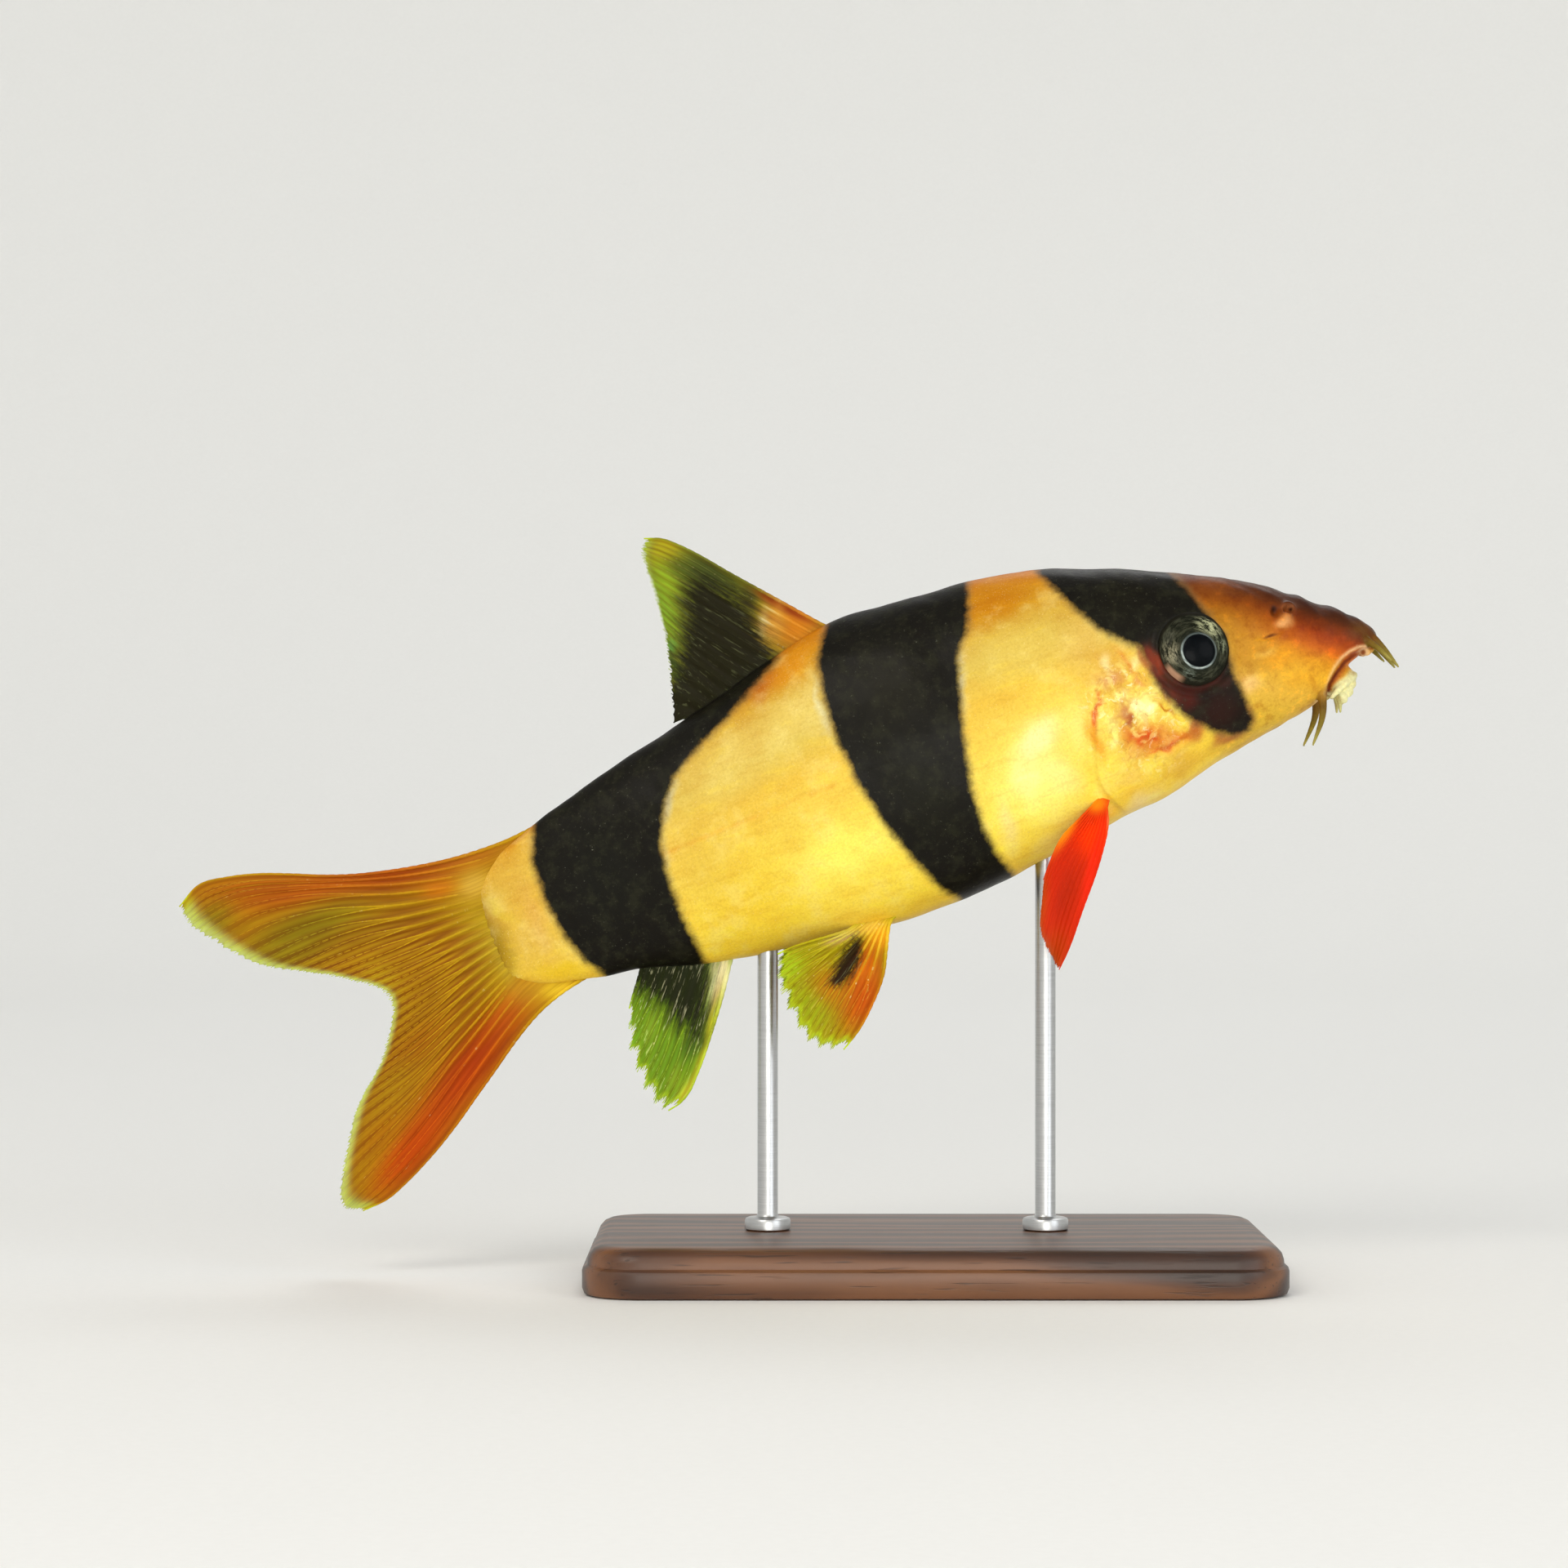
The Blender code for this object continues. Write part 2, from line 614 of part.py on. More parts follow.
PELVIC = [
    [(-11.9, 3.6, -17.9), (-13.4, 4.5, -20.6), (-15.0, 5.5, -23.7), (-17.5, 6.7, -26.6), (-20.0, 7.6, -28.9),
     (-22.5, 8.2, -30.5)],
    [(-12.6, 3.6, -17.8), (-16.3, 4.9, -21.6), (-20.1, 6.1, -25.2), (-23.1, 6.9, -27.7), (-25.4, 7.4, -29.6)],
    [(-13.6, 3.6, -17.7), (-17.9, 5.0, -20.6), (-21.6, 6.0, -23.0), (-24.6, 6.7, -25.3), (-26.9, 7.1, -27.1)],
    [(-14.7, 3.6, -17.5), (-19.0, 5.0, -19.2), (-22.6, 5.9, -20.5), (-25.5, 6.5, -21.7), (-27.6, 6.8, -22.7)],
    [(-15.8, 3.6, -17.3), (-19.5, 5.1, -17.8), (-22.8, 6.0, -18.2), (-25.5, 6.4, -18.7), (-27.4, 6.6, -19.3)],
    [(-16.6, 3.6, -17.1), (-19.2, 5.2, -17.0), (-21.9, 6.0, -16.8), (-24.2, 6.4, -16.7), (-26.1, 6.6, -16.9)],
]


LEFT_PECTORAL_TURN = math.radians(5.5)


def swung_forward(key_rays, turn):
    # The same rays, turned about the front one's root as seen from the side
    root_x, _, root_z = key_rays[0][0]
    c, s = math.cos(turn), math.sin(turn)
    return [[(root_x + (x - root_x) * c - (z - root_z) * s, y, root_z + (x - root_x) * s + (z - root_z) * c)
             for x, y, z in ray] for ray in key_rays]


def make_fins(fish, skin):
    flat_fins = {
        "dorsal_fin": (DORSAL, 10, 8, "fin_black"),
        "anal_fin": (ANAL, 8, 8, "fin_olive"),
        "caudal_fin_upper": (CAUDAL_UPPER, 11, 9, "fin_orange"),
        "caudal_fin_lower": (CAUDAL_LOWER, 10, 9, "fin_orange"),
    }
    for name, (key_rays, rays, rows, finish) in flat_fins.items():
        made = fin(name, sunk(in_plane(key_rays)), rays, rows, finish, fish)
        cut(made, [skin])
    for side, word in ((-1, "right"), (1, "left")):
        # the left pectoral fin is held a little further forward than the right
        pectoral = swung_forward(PECTORAL, LEFT_PECTORAL_TURN) if side > 0 else PECTORAL
        paired = {"pectoral_fin_": (pectoral, 11, 8, "fin_red"), "pelvic_fin_": (PELVIC, 9, 7, "fin_orange")}
        for name, (key_rays, rays, rows, finish) in paired.items():
            made = fin(name + word, sunk(key_rays), rays, rows, finish, fish, side)
            cut(made, [skin])


BARBELS = {
    # From the root to the tip, and the radius at the root
    "barbel_rostral_inner": ([(55.2, 0.9, -5.4), (56.2, 1.2, -7.2), (57.1, 1.6, -10.0)], 0.72),
    "barbel_rostral_outer": ([(54.0, 2.1, -5.4), (55.3, 2.7, -7.0), (56.2, 3.1, -9.0)], 0.6),
    "barbel_maxillary": ([(47.0, 2.8, -9.5), (46.2, 3.7, -12.2), (43.6, 4.9, -15.4)], 0.64),
    "barbel_mandibular": ([(49.0, 1.2, -10.2), (48.8, 1.5, -11.7), (48.4, 1.8, -12.9)], 0.54),
}


def make_barbels(fish, roots):
    for name, (path, radius) in BARBELS.items():
        for side, word in ((-1, "right"), (1, "left")):
            count = 6
            along = smooth_path(sunk([[(x, side * y, z) for x, y, z in path]], 1.0)[0], count)
            radii = [radius * (1 - i / (count - 1)) ** 0.7 + BARBEL_TIP for i in range(count)]
            made = tube_object(f"{name}_{word}", along, radii, "barbel_olive", fish)
            cut(made, roots)


def rounded_slab(length, width, height, corner, edge, name, finish):
    shape = bmesh.new()
    outline = []
    for sx, sy, start in ((1, 1, 0), (-1, 1, 90), (-1, -1, 180), (1, -1, 270)):
        for k in range(7):
            turn = math.radians(start + 15 * k)
            outline.append((sx * (length / 2 - corner) + corner * math.cos(turn),
                            sy * (width / 2 - corner) + corner * math.sin(turn)))
    floor = shape.faces.new([shape.verts.new((x * MM, y * MM, 0)) for x, y in outline])
    lifted = bmesh.ops.extrude_face_region(shape, geom=[floor])
    top = [v for v in lifted["geom"] if isinstance(v, bmesh.types.BMVert)]
    bmesh.ops.translate(shape, verts=top, vec=(0, 0, height * MM))
    bmesh.ops.recalc_face_normals(shape, faces=shape.faces)
    upper = [e for e in shape.edges if all(abs(v.co.z - height * MM) < 1e-7 for v in e.verts)]
    bmesh.ops.bevel(shape, geom=upper, offset=edge * MM, segments=2, profile=0.5, affect="EDGES")
    mesh = bpy.data.meshes.new(name)
    shape.to_mesh(mesh)
    shape.free()
    mesh.shade_smooth()
    mesh.set_sharp_from_angle(angle=math.radians(40))
    mesh.materials.append(material(finish))
    obj = bpy.data.objects.new(name, mesh)
    bpy.context.scene.collection.objects.link(obj)
    return obj


def turned(name, profile, sides, finish):
    # A solid of revolution about its own z axis, from (radius, height) points
    rings = [[(r * MM * math.cos(2 * math.pi * k / sides), r * MM * math.sin(2 * math.pi * k / sides), z * MM)
              for k in range(sides)] for r, z in profile]
    points, faces = loft(rings)
    obj = mesh_object(name, points, faces, finish)
    obj.data.set_sharp_from_angle(angle=math.radians(40))
    return obj


def make_stand(skin):
    rounded_slab(BASE_LENGTH, BASE_WIDTH, BASE_HEIGHT, BASE_CORNER, BASE_EDGE, "stand_base", "walnut")
    for word, x in ROD_XS.items():
        length = FISH_LIFT - BASE_HEIGHT
        profile = [(ROD_COLLAR_RADIUS, 0), (ROD_COLLAR_RADIUS, ROD_COLLAR_HEIGHT),
                   (ROD_RADIUS, ROD_COLLAR_HEIGHT + 0.4), (ROD_RADIUS, length)]
        rod = turned(f"stand_rod_{word}", profile, 16, "rod_steel")
        rod.location = Vector((x, sway_at(x), BASE_HEIGHT + GAP)) * MM
        cut(rod, [skin])


def main():
    clear_scene()
    fish = bpy.data.objects.new("fish", None)
    bpy.context.scene.collection.objects.link(fish)
    fish.rotation_euler = (0, -PITCH, 0)
    fish.location = (0, 0, FISH_LIFT * MM)

    skin = as_cutter(body_solid("skin_and_gap", TAIL_END - GAP, SNOUT_END, GAP, parent=fish))
    lip = as_cutter(tube_object("lip_and_gap", upper_lip_path(), lip_radii(19, LIP_RADIUS + GAP), parent=fish))
    make_head(fish)
    make_body(fish)
    for side, word in ((-1, "right"), (1, "left")):
        eye(f"eye_{word}", side, 0.0, "eye_dark", fish)
    make_lower_jaw(fish, [skin, lip])
    jaw_and_gap = as_cutter(ellipsoid(
        "jaw_and_gap", Vector((JAW_CENTRE[0], 0, JAW_CENTRE[1])),
        (Vector((1, 0, 0)), Vector((0, 1, 0)), Vector((0, 0, 1))),
        [radius + GAP for radius in JAW_RADII], parent=fish, around=16, rings=10))
    make_fins(fish, skin)
    make_barbels(fish, [skin, lip, jaw_and_gap])
    make_stand(skin)


main()
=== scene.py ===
# Clown loach on its display stand: skin, eyes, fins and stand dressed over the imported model.
# The fish is drawn level and straight in millimetres (x to the snout, y to its left, z up),
# then bent, tipped nose up and lifted on to its rods in metres.
import math

import bmesh
import bpy
import numpy as np
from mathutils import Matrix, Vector


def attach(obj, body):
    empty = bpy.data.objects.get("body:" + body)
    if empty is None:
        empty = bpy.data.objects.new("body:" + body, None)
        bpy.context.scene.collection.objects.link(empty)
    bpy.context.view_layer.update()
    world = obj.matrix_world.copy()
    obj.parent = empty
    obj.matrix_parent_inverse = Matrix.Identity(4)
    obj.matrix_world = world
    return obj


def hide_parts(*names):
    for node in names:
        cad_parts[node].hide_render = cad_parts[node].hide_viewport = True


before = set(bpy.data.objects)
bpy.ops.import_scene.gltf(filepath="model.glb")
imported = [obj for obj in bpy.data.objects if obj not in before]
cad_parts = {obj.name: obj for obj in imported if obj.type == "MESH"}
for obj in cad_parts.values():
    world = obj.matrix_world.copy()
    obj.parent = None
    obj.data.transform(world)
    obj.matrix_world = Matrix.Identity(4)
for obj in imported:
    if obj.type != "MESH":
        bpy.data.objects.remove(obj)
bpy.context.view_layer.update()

mm = 0.001
scene = bpy.context.scene
scene.view_settings.view_transform = "Standard"

view = {
    "lens": 100.0,
    "aimX": -18.0,
    "aimZ": 60.6,
    "distance": 533.3,
    "middle": (-18.3, 2.3),      # the aim, in the level fish's x and z
}
pose = {
    "pitch": math.radians(20),   # nose up
    "lift": 64.8,                # height of the fish's own origin
    "swayStart": -8.0,           # the tail swings to the fish's left behind here
    "swayEnd": -94.0,
    "sway": 5.0,
}

# Side outline and half width, as (x, value)
body = {
    "back": [(-58.4, 4.2), (-54, 6.2), (-49, 8.0), (-38, 11.2), (-26.5, 13.9), (-16, 16.8), (-6.5, 18.9), (4, 18.3),
             (13, 17.6), (20, 16.1), (28, 13.4), (36, 9.8), (44, 5.7), (49.5, 1.6), (53, -1.2), (56, -3.6)],
    "belly": [(-58.4, -9.4), (-54, -10.9), (-48, -12.3), (-42.5, -13.1), (-36, -14.9), (-30, -16.2), (-22, -17.2),
              (-8, -18.6), (2, -18.2), (10, -17.2), (18, -16.0), (26, -15.0), (34, -13.0), (42, -11.7),
              (46.5, -10.5), (50, -8.5), (53, -7.2), (56, -6.9)],
    "halfWidth": [(-58.6, 0.3), (-57, 0.75), (-54.5, 1.5), (-50, 2.7), (-40, 4.7), (-30, 6.6), (-16, 9.0), (-2, 10.1), (12, 10.0), (22, 9.2),
                  (30, 8.0), (38, 6.5), (46, 4.8), (52, 3.4), (56, 2.2)],
    "widest": [(-58.4, 0.5), (-20, 0.5), (5, 0.46), (22, 0.42), (38, 0.42), (56, 0.42)],
    "squareAbove": [(-58.4, 2.0), (-10, 1.85), (12, 1.9), (30, 2.1), (56, 2.1)],
    "squareBelow": [(-58.4, 2.0), (-20, 2.1), (5, 2.35), (25, 2.3), (38, 2.4), (46, 3.0), (56, 3.0)],
    "tailEnd": -58.6,
    "snoutEnd": 56.0,
    "snoutRounding": 3.2,
    "tailRounding": 0.9,
    "ringStep": 0.22,            # mm between rings of the first, uncut shape
    "sides": 260,
}

gill = {
    "edge": [(-20, 21.8), (-15, 19.4), (-11, 17.9), (-6.5, 18.9), (-2, 20.6), (2, 22.6), (8, 23.6), (20, 22.5)],
    "top": 2.5,
    "bottom": -15.5,
    "rise": 0.55,                # how far the cover's hind edge stands out
    "fade": 9.0,
    "groove": 0.34,
}

eye = {
    "x": 33.8,
    "z": 0.6,
    "radius": 4.22,              # as it shows in the skin
    "halfDepth": 2.8,
    "proud": 1.15,
    "socketDepth": 1.3,
    "rim": 0.2,
    "pupil": 2.0,
    "pupilAhead": 0.2,           # the pupil's place from the iris's middle
    "pupilUp": -0.5,
    "lensRise": 0.18,
}


def through(points, x):
    # Smooth line through (place, value) points; each slope is the mean of the slopes beside it
    places = np.array([p[0] for p in points], float)
    values = np.array([p[1] for p in points], float)
    return smoothBetween(places, values, x)


def smoothBetween(places, values, x):
    x = np.clip(np.asarray(x, float), places[0], places[-1])
    steps = np.diff(places).reshape(-1, *[1] * (values.ndim - 1))
    slopes = np.diff(values, axis=0) / steps
    tangents = np.concatenate([slopes[:1], (slopes[:-1] + slopes[1:]) / 2, slopes[-1:]])
    i = np.clip(np.searchsorted(places, x, side="right") - 1, 0, len(places) - 2)
    h = places[i + 1] - places[i]
    t = (x - places[i]) / h
    if values.ndim > 1:
        n = np.arange(len(x))
        low, high, atLow, atHigh = values[i, n], values[i + 1, n], tangents[i, n], tangents[i + 1, n]
        t, h = t[:, None], h[:, None]
    else:
        low, high, atLow, atHigh = values[i], values[i + 1], tangents[i], tangents[i + 1]
    first = (2 * t**3 - 3 * t**2 + 1) * low + (t**3 - 2 * t**2 + t) * h * atLow
    return first + (3 * t**2 - 2 * t**3) * high + (t**3 - t**2) * h * atHigh


def rise(low, high, value):
    # 0 below low, 1 above high, smooth between
    t = np.clip((np.asarray(value, float) - low) / (high - low), 0, 1)
    return t * t * (3 - 2 * t)


def swayAt(x):
    share = np.maximum(0, (pose["swayStart"] - x) / (pose["swayStart"] - pose["swayEnd"]))
    return pose["sway"] * share**2


def toWorld(points):
    # Level, straight millimetres to the stand's metres
    p = np.array(points, float)
    y = p[:, 1] + swayAt(p[:, 0])
    c, s = math.cos(pose["pitch"]), math.sin(pose["pitch"])
    x, z = p[:, 0] * c - p[:, 2] * s, p[:, 0] * s + p[:, 2] * c + pose["lift"]
    return np.stack([x, y, z], 1) * mm


def seen(points):
    # (x, z) of each point as the camera's eye lays it on the fish's middle plane, the same for both sides
    depth = np.abs(points[:, 1])
    nearer = (view["distance"] / (view["distance"] - depth))[:, None]
    middle = np.array(view["middle"])
    return middle + (points[:, [0, 2]] - middle) * nearer


def wobble(points, wave, seed, waves=9):
    # Soft random hills and hollows, about -1 to 1, with the given wavelength in mm
    rng = np.random.default_rng(seed)
    ways = rng.normal(size=(waves, 3))
    ways *= (2 * math.pi / wave * rng.uniform(0.7, 1.5, waves) / np.linalg.norm(ways, axis=1))[:, None]
    turns = rng.uniform(0, 2 * math.pi, waves)
    return sum(np.sin(points @ way + turn) for way, turn in zip(ways, turns)) / math.sqrt(waves)


def meshObject(name, points, faces, edges=()):
    mesh = bpy.data.meshes.new(name)
    mesh.from_pydata([tuple(p) for p in points], [tuple(e) for e in edges], [tuple(f) for f in faces])
    mesh.validate()
    obj = bpy.data.objects.new(name, mesh)
    scene.collection.objects.link(obj)
    return obj


def pointsOf(mesh):
    flat = np.empty(len(mesh.vertices) * 3, np.float32)
    mesh.vertices.foreach_get("co", flat)
    return flat.reshape(-1, 3).astype(float)


def setPoints(mesh, points):
    mesh.vertices.foreach_set("co", np.asarray(points, np.float32).ravel())
    mesh.update()


def setAttribute(mesh, name, values):
    # One number, a colour or a place for each point
    values = np.asarray(values, np.float32)
    if values.ndim == 1:
        mesh.attributes.new(name, "FLOAT", "POINT").data.foreach_set("value", values)
    elif values.shape[1] == 4:
        mesh.attributes.new(name, "FLOAT_COLOR", "POINT").data.foreach_set("color", values.ravel())
    else:
        mesh.attributes.new(name, "FLOAT_VECTOR", "POINT").data.foreach_set("vector", values.ravel())


def made(obj, *modifiers):
    # Runs modifiers over an object, one after another, and keeps the result as its plain mesh
    for kind, settings in modifiers:
        step = obj.modifiers.new(kind.title(), kind)
        for key, value in settings.items():
            setattr(step, key, value)
    bpy.context.view_layer.update()
    result = bpy.data.meshes.new_from_object(obj.evaluated_get(bpy.context.evaluated_depsgraph_get()))
    obj.modifiers.clear()
    obj.data = result
    return obj


def joinAs(name, objects):
    # One object out of several
    points, faces, start = [], [], 0
    for obj in objects:
        points.append(pointsOf(obj.data))
        faces += [tuple(start + v for v in polygon.vertices) for polygon in obj.data.polygons]
        start += len(obj.data.vertices)
        bpy.data.objects.remove(obj, do_unlink=True)
    return meshObject(name, np.concatenate(points), faces)


def outward(obj):
    shape = bmesh.new()
    shape.from_mesh(obj.data)
    bmesh.ops.recalc_face_normals(shape, faces=shape.faces)
    if shape.calc_volume(signed=True) < 0:
        bmesh.ops.reverse_faces(shape, faces=shape.faces)
    shape.to_mesh(obj.data)
    shape.free()
    obj.data.shade_smooth()
    return obj


# Colour and shader nodes

def srgb(code):
    # "#RRGGBB" as three numbers from 0 to 1
    return np.array([int(code[i:i + 2], 16) / 255 for i in (1, 3, 5)])


def linear(colour):
    # sRGB, as a code or rows of numbers, to linear with alpha 1
    colour = srgb(colour) if isinstance(colour, str) else np.asarray(colour, float)
    flat = np.where(colour <= 0.04045, colour / 12.92, ((np.clip(colour, 0, 1) + 0.055) / 1.055) ** 2.4)
    return np.concatenate([flat, np.ones((*flat.shape[:-1], 1))], axis=-1)


def add(tree, kind, settings=None, inputs=None):
    # Adds a node; an input is a number or colour, a node (its first output) or (node, output)
    node = tree.nodes.new(kind)
    for key, value in (settings or {}).items():
        if key == "stops":
            ramp = node.color_ramp
            while len(ramp.elements) < len(value):
                ramp.elements.new(0.5)
            for element, (place, tone) in zip(ramp.elements, value):
                element.position = place
                element.color = linear(tone)
        else:
            setattr(node, key, value)
    for key, value in (inputs or {}).items():
        value = (value, 0) if isinstance(value, bpy.types.Node) else value
        if isinstance(value, tuple) and isinstance(value[0], bpy.types.Node):
            tree.links.new(value[0].outputs[value[1]], node.inputs[key])
        else:
            node.inputs[key].default_value = value
    return node


def finish(name, looks):
    # A material whose Principled shader takes the given fixed numbers
    material = bpy.data.materials.new(name)
    material.use_nodes = True
    tree = material.node_tree
    shader = tree.nodes["Principled BSDF"]
    for key, value in looks.items():
        shader.inputs[key].default_value = value
    return material, tree, shader


def mix(tree, factor, a, b, blend="MIX"):
    # The colour b over a by factor; returns what a link or another mix takes
    node = add(tree, "ShaderNodeMix", {"data_type": "RGBA", "blend_type": blend}, {0: factor, 6: a, 7: b})
    return (node, 2)


def reckon(tree, operation, a, b=0.0, c=0.0):
    return add(tree, "ShaderNodeMath", {"operation": operation}, {0: a, 1: b, 2: c})


def between(tree, value, low, high, toLow=0.0, toHigh=1.0):
    return add(tree, "ShaderNodeMapRange", {"interpolation_type": "SMOOTHSTEP"},
               {0: value, 1: low, 2: high, 3: toLow, 4: toHigh})


print("camera, lights and floor")

lights = [
    # name, place (m), size (m), power (W), tone
    ("keyLight", (-0.45, -0.75, 0.75), 0.55, 3.5, "#FFF8EE"),
    ("fillLight", (0.70, -0.70, 0.35), 0.60, 1.9, "#F6FAFF"),
    ("lowLight", (0.05, -0.80, 0.07), 0.45, 2.45, "#FFFDF6"),
    ("backLight", (0.15, 0.75, 0.95), 0.60, 2.2, "#FFFFFF"),
]

cameraData = bpy.data.cameras.new("camera")
cameraData.lens = view["lens"]
cameraData.clip_start = 0.01
camera = bpy.data.objects.new("camera", cameraData)
camera.location = Vector((view["aimX"], -view["distance"], view["aimZ"])) * mm
camera.rotation_euler = (math.radians(90), 0, 0)
scene.collection.objects.link(camera)
scene.camera = camera

target = Vector((-0.015, 0.0, 0.06))
for name, place, size, power, tone in lights:
    lamp = bpy.data.lights.new(name, "AREA")
    lamp.shape = "DISK"
    lamp.size = size
    lamp.energy = power
    lamp.color = linear(tone)[:3]
    lampObject = bpy.data.objects.new(name, lamp)
    lampObject.location = place
    lampObject.rotation_euler = (target - Vector(place)).to_track_quat("-Z", "Y").to_euler()
    lampObject.visible_camera = False
    scene.collection.objects.link(lampObject)

sky = bpy.data.worlds.new("studioSky")
scene.world = sky
sky.use_nodes = True
sky.node_tree.nodes["Background"].inputs["Color"].default_value = linear("#F8FAFC")
sky.node_tree.nodes["Background"].inputs["Strength"].default_value = 0.42


def sweep(flat=0.75, bend=0.45, wall=0.9, sides=96, steps=16):
    # A round floor that turns up into a wall all round
    profile = [(flat * k / 4, 0.0) for k in range(1, 5)]
    for k in range(1, steps + 1):
        turn = math.pi / 2 * k / steps
        profile.append((flat + bend * math.sin(turn), bend * (1 - math.cos(turn))))
    profile.append((flat + bend, bend + wall))
    points, faces = [(0, 0, 0)], []
    for radius, z in profile:
        points += [(radius * math.cos(2 * math.pi * k / sides), radius * math.sin(2 * math.pi * k / sides), z)
                   for k in range(sides)]
    for k in range(sides):
        faces.append((0, 1 + k, 1 + (k + 1) % sides))
        for i in range(len(profile) - 1):
            a, b = 1 + i * sides + k, 1 + i * sides + (k + 1) % sides
            faces.append((a, a + sides, b + sides, b))
    return meshObject("studioFloor", points, faces)


paper, tree, shader = finish("studioPaper", {"Roughness": 0.9, "Specular IOR Level": 0.1})
# matt pale paper: a faint tooth, no shine
coords = add(tree, "ShaderNodeTexCoord")
tooth = add(tree, "ShaderNodeTexNoise", None, {"Vector": (coords, "Object"), "Scale": 900.0, "Detail": 2.0})
tree.links.new(add(tree, "ShaderNodeValToRGB", {"stops": [(0.0, "#F5F5F3"), (1.0, "#F9F9F7")]},
                   {0: tooth}).outputs[0], shader.inputs["Base Color"])
floor = sweep()
floor.data.materials.append(paper)
floor.data.shade_smooth()


print("body shape")


def section(x):
    # Half width, widest height and the heights above and below it
    top, bottom = through(body["back"], x), through(body["belly"], x)
    middle = bottom + through(body["widest"], x) * (top - bottom)
    intoSnout = np.maximum(0, (x - (body["snoutEnd"] - body["snoutRounding"])) / body["snoutRounding"])
    intoTail = np.maximum(0, (body["tailEnd"] + body["tailRounding"] - x) / body["tailRounding"])
    rounding = np.sqrt(np.maximum(0, 1 - np.minimum(1, np.maximum(intoSnout, intoTail)) ** 2))
    return through(body["halfWidth"], x) * rounding, middle, (top - middle) * rounding, (middle - bottom) * rounding


def sideY(x, z):
    width, middle, above, below = section(x)
    up = z >= middle
    square = np.where(up, through(body["squareAbove"], x), through(body["squareBelow"], x))
    share = np.minimum(1, np.abs(z - middle) / np.where(up, above, below))
    return width * (1 - share**square) ** (1 / square)


def sideFrame(x, z, side):
    # A point of the body's side, with the ways forward, up and out there
    step = 0.2
    along = (sideY(x + step, z) - sideY(x - step, z)) / (2 * step)
    up = (sideY(x, z + step) - sideY(x, z - step)) / (2 * step)
    out = Vector((-along, side, -up)).normalized()
    forward = (Vector((1, 0, 0)) - out * out.x).normalized()
    upward = forward.cross(out) * side
    return Vector((x, side * float(sideY(x, z)), z)), forward, upward, out


def lineDistance(points, path):
    # Distance from each point to a chain of points, and how far along it the nearest place lies
    path = np.array(path, float)
    best, along = np.full(len(points), 1e9), np.zeros(len(points))
    for i in range(len(path) - 1):
        a, way = path[i], path[i + 1] - path[i]
        t = np.clip((points - a) @ way / (way @ way), 0, 1)
        gap = np.linalg.norm(points - a - t[:, None] * way, axis=1)
        nearer = gap < best
        best, along = np.where(nearer, gap, best), np.where(nearer, (i + t) / (len(path) - 1), along)
    return best, along


def insideBy(points, outline):
    # Signed distance in mm from (x, z) points to a closed outline, positive inside
    outline = np.array(outline, float)
    inside = np.zeros(len(points), bool)
    for a, b in zip(outline, np.roll(outline, -1, axis=0)):
        crosses = (a[1] > points[:, 1]) != (b[1] > points[:, 1])
        slope = (b[0] - a[0]) / (b[1] - a[1] if b[1] != a[1] else 1e-9)
        inside ^= crosses & (points[:, 0] < a[0] + (points[:, 1] - a[1]) * slope)
    gap, _ = lineDistance(points, np.concatenate([outline, outline[:1]]))
    return np.where(inside, gap, -gap)


face = {
    # Places on the side of the head as (x, z)
    "nostril": (46.9, 1.2),
    "rearNostril": (45.4, 1.5),
    "flap": (45.9, 0.0),
    "slit": [(42.7, -0.9), (43.8, -1.4), (45.0, -1.1)],
    "cheekCrease": [(27.4, -3.0), (28.6, -5.0), (29.2, -6.7), (29.9, -8.3), (30.4, -9.2)],
    "coverCrease": [(21.2, -6.5), (22.6, -3.4), (24.2, -0.9), (27.4, -1.4)],
    "lowerCrease": [(25.2, -9.0), (27.0, -9.9), (28.8, -9.7), (30.2, -9.2)],
    # the lip's rim and the mouth's gap under it, from the corner forward
    "rim": [(47.6, -10.2), (48.0, -9.6), (48.8, -8.5), (49.9, -7.4), (51.1, -6.6), (52.3, -6.2), (53.6, -6.1), (54.8, -6.4)],
    "gap": [(48.0, -10.2), (48.6, -9.2), (49.9, -8.1), (51.3, -7.2), (52.6, -6.85), (53.9, -6.9)],
    "pores": [(39.2, 5.6), (41.6, 3.9), (43.6, 3.4), (49.4, -1.9), (50.6, -3.6), (47.2, -3.2), (41.4, -4.4),
              (38.6, -5.6), (44.6, -5.4)],
}


def bump(flat, x, z, radius):
    return np.exp(-((flat[:, 0] - x) ** 2 + (flat[:, 1] - z) ** 2) / radius**2)


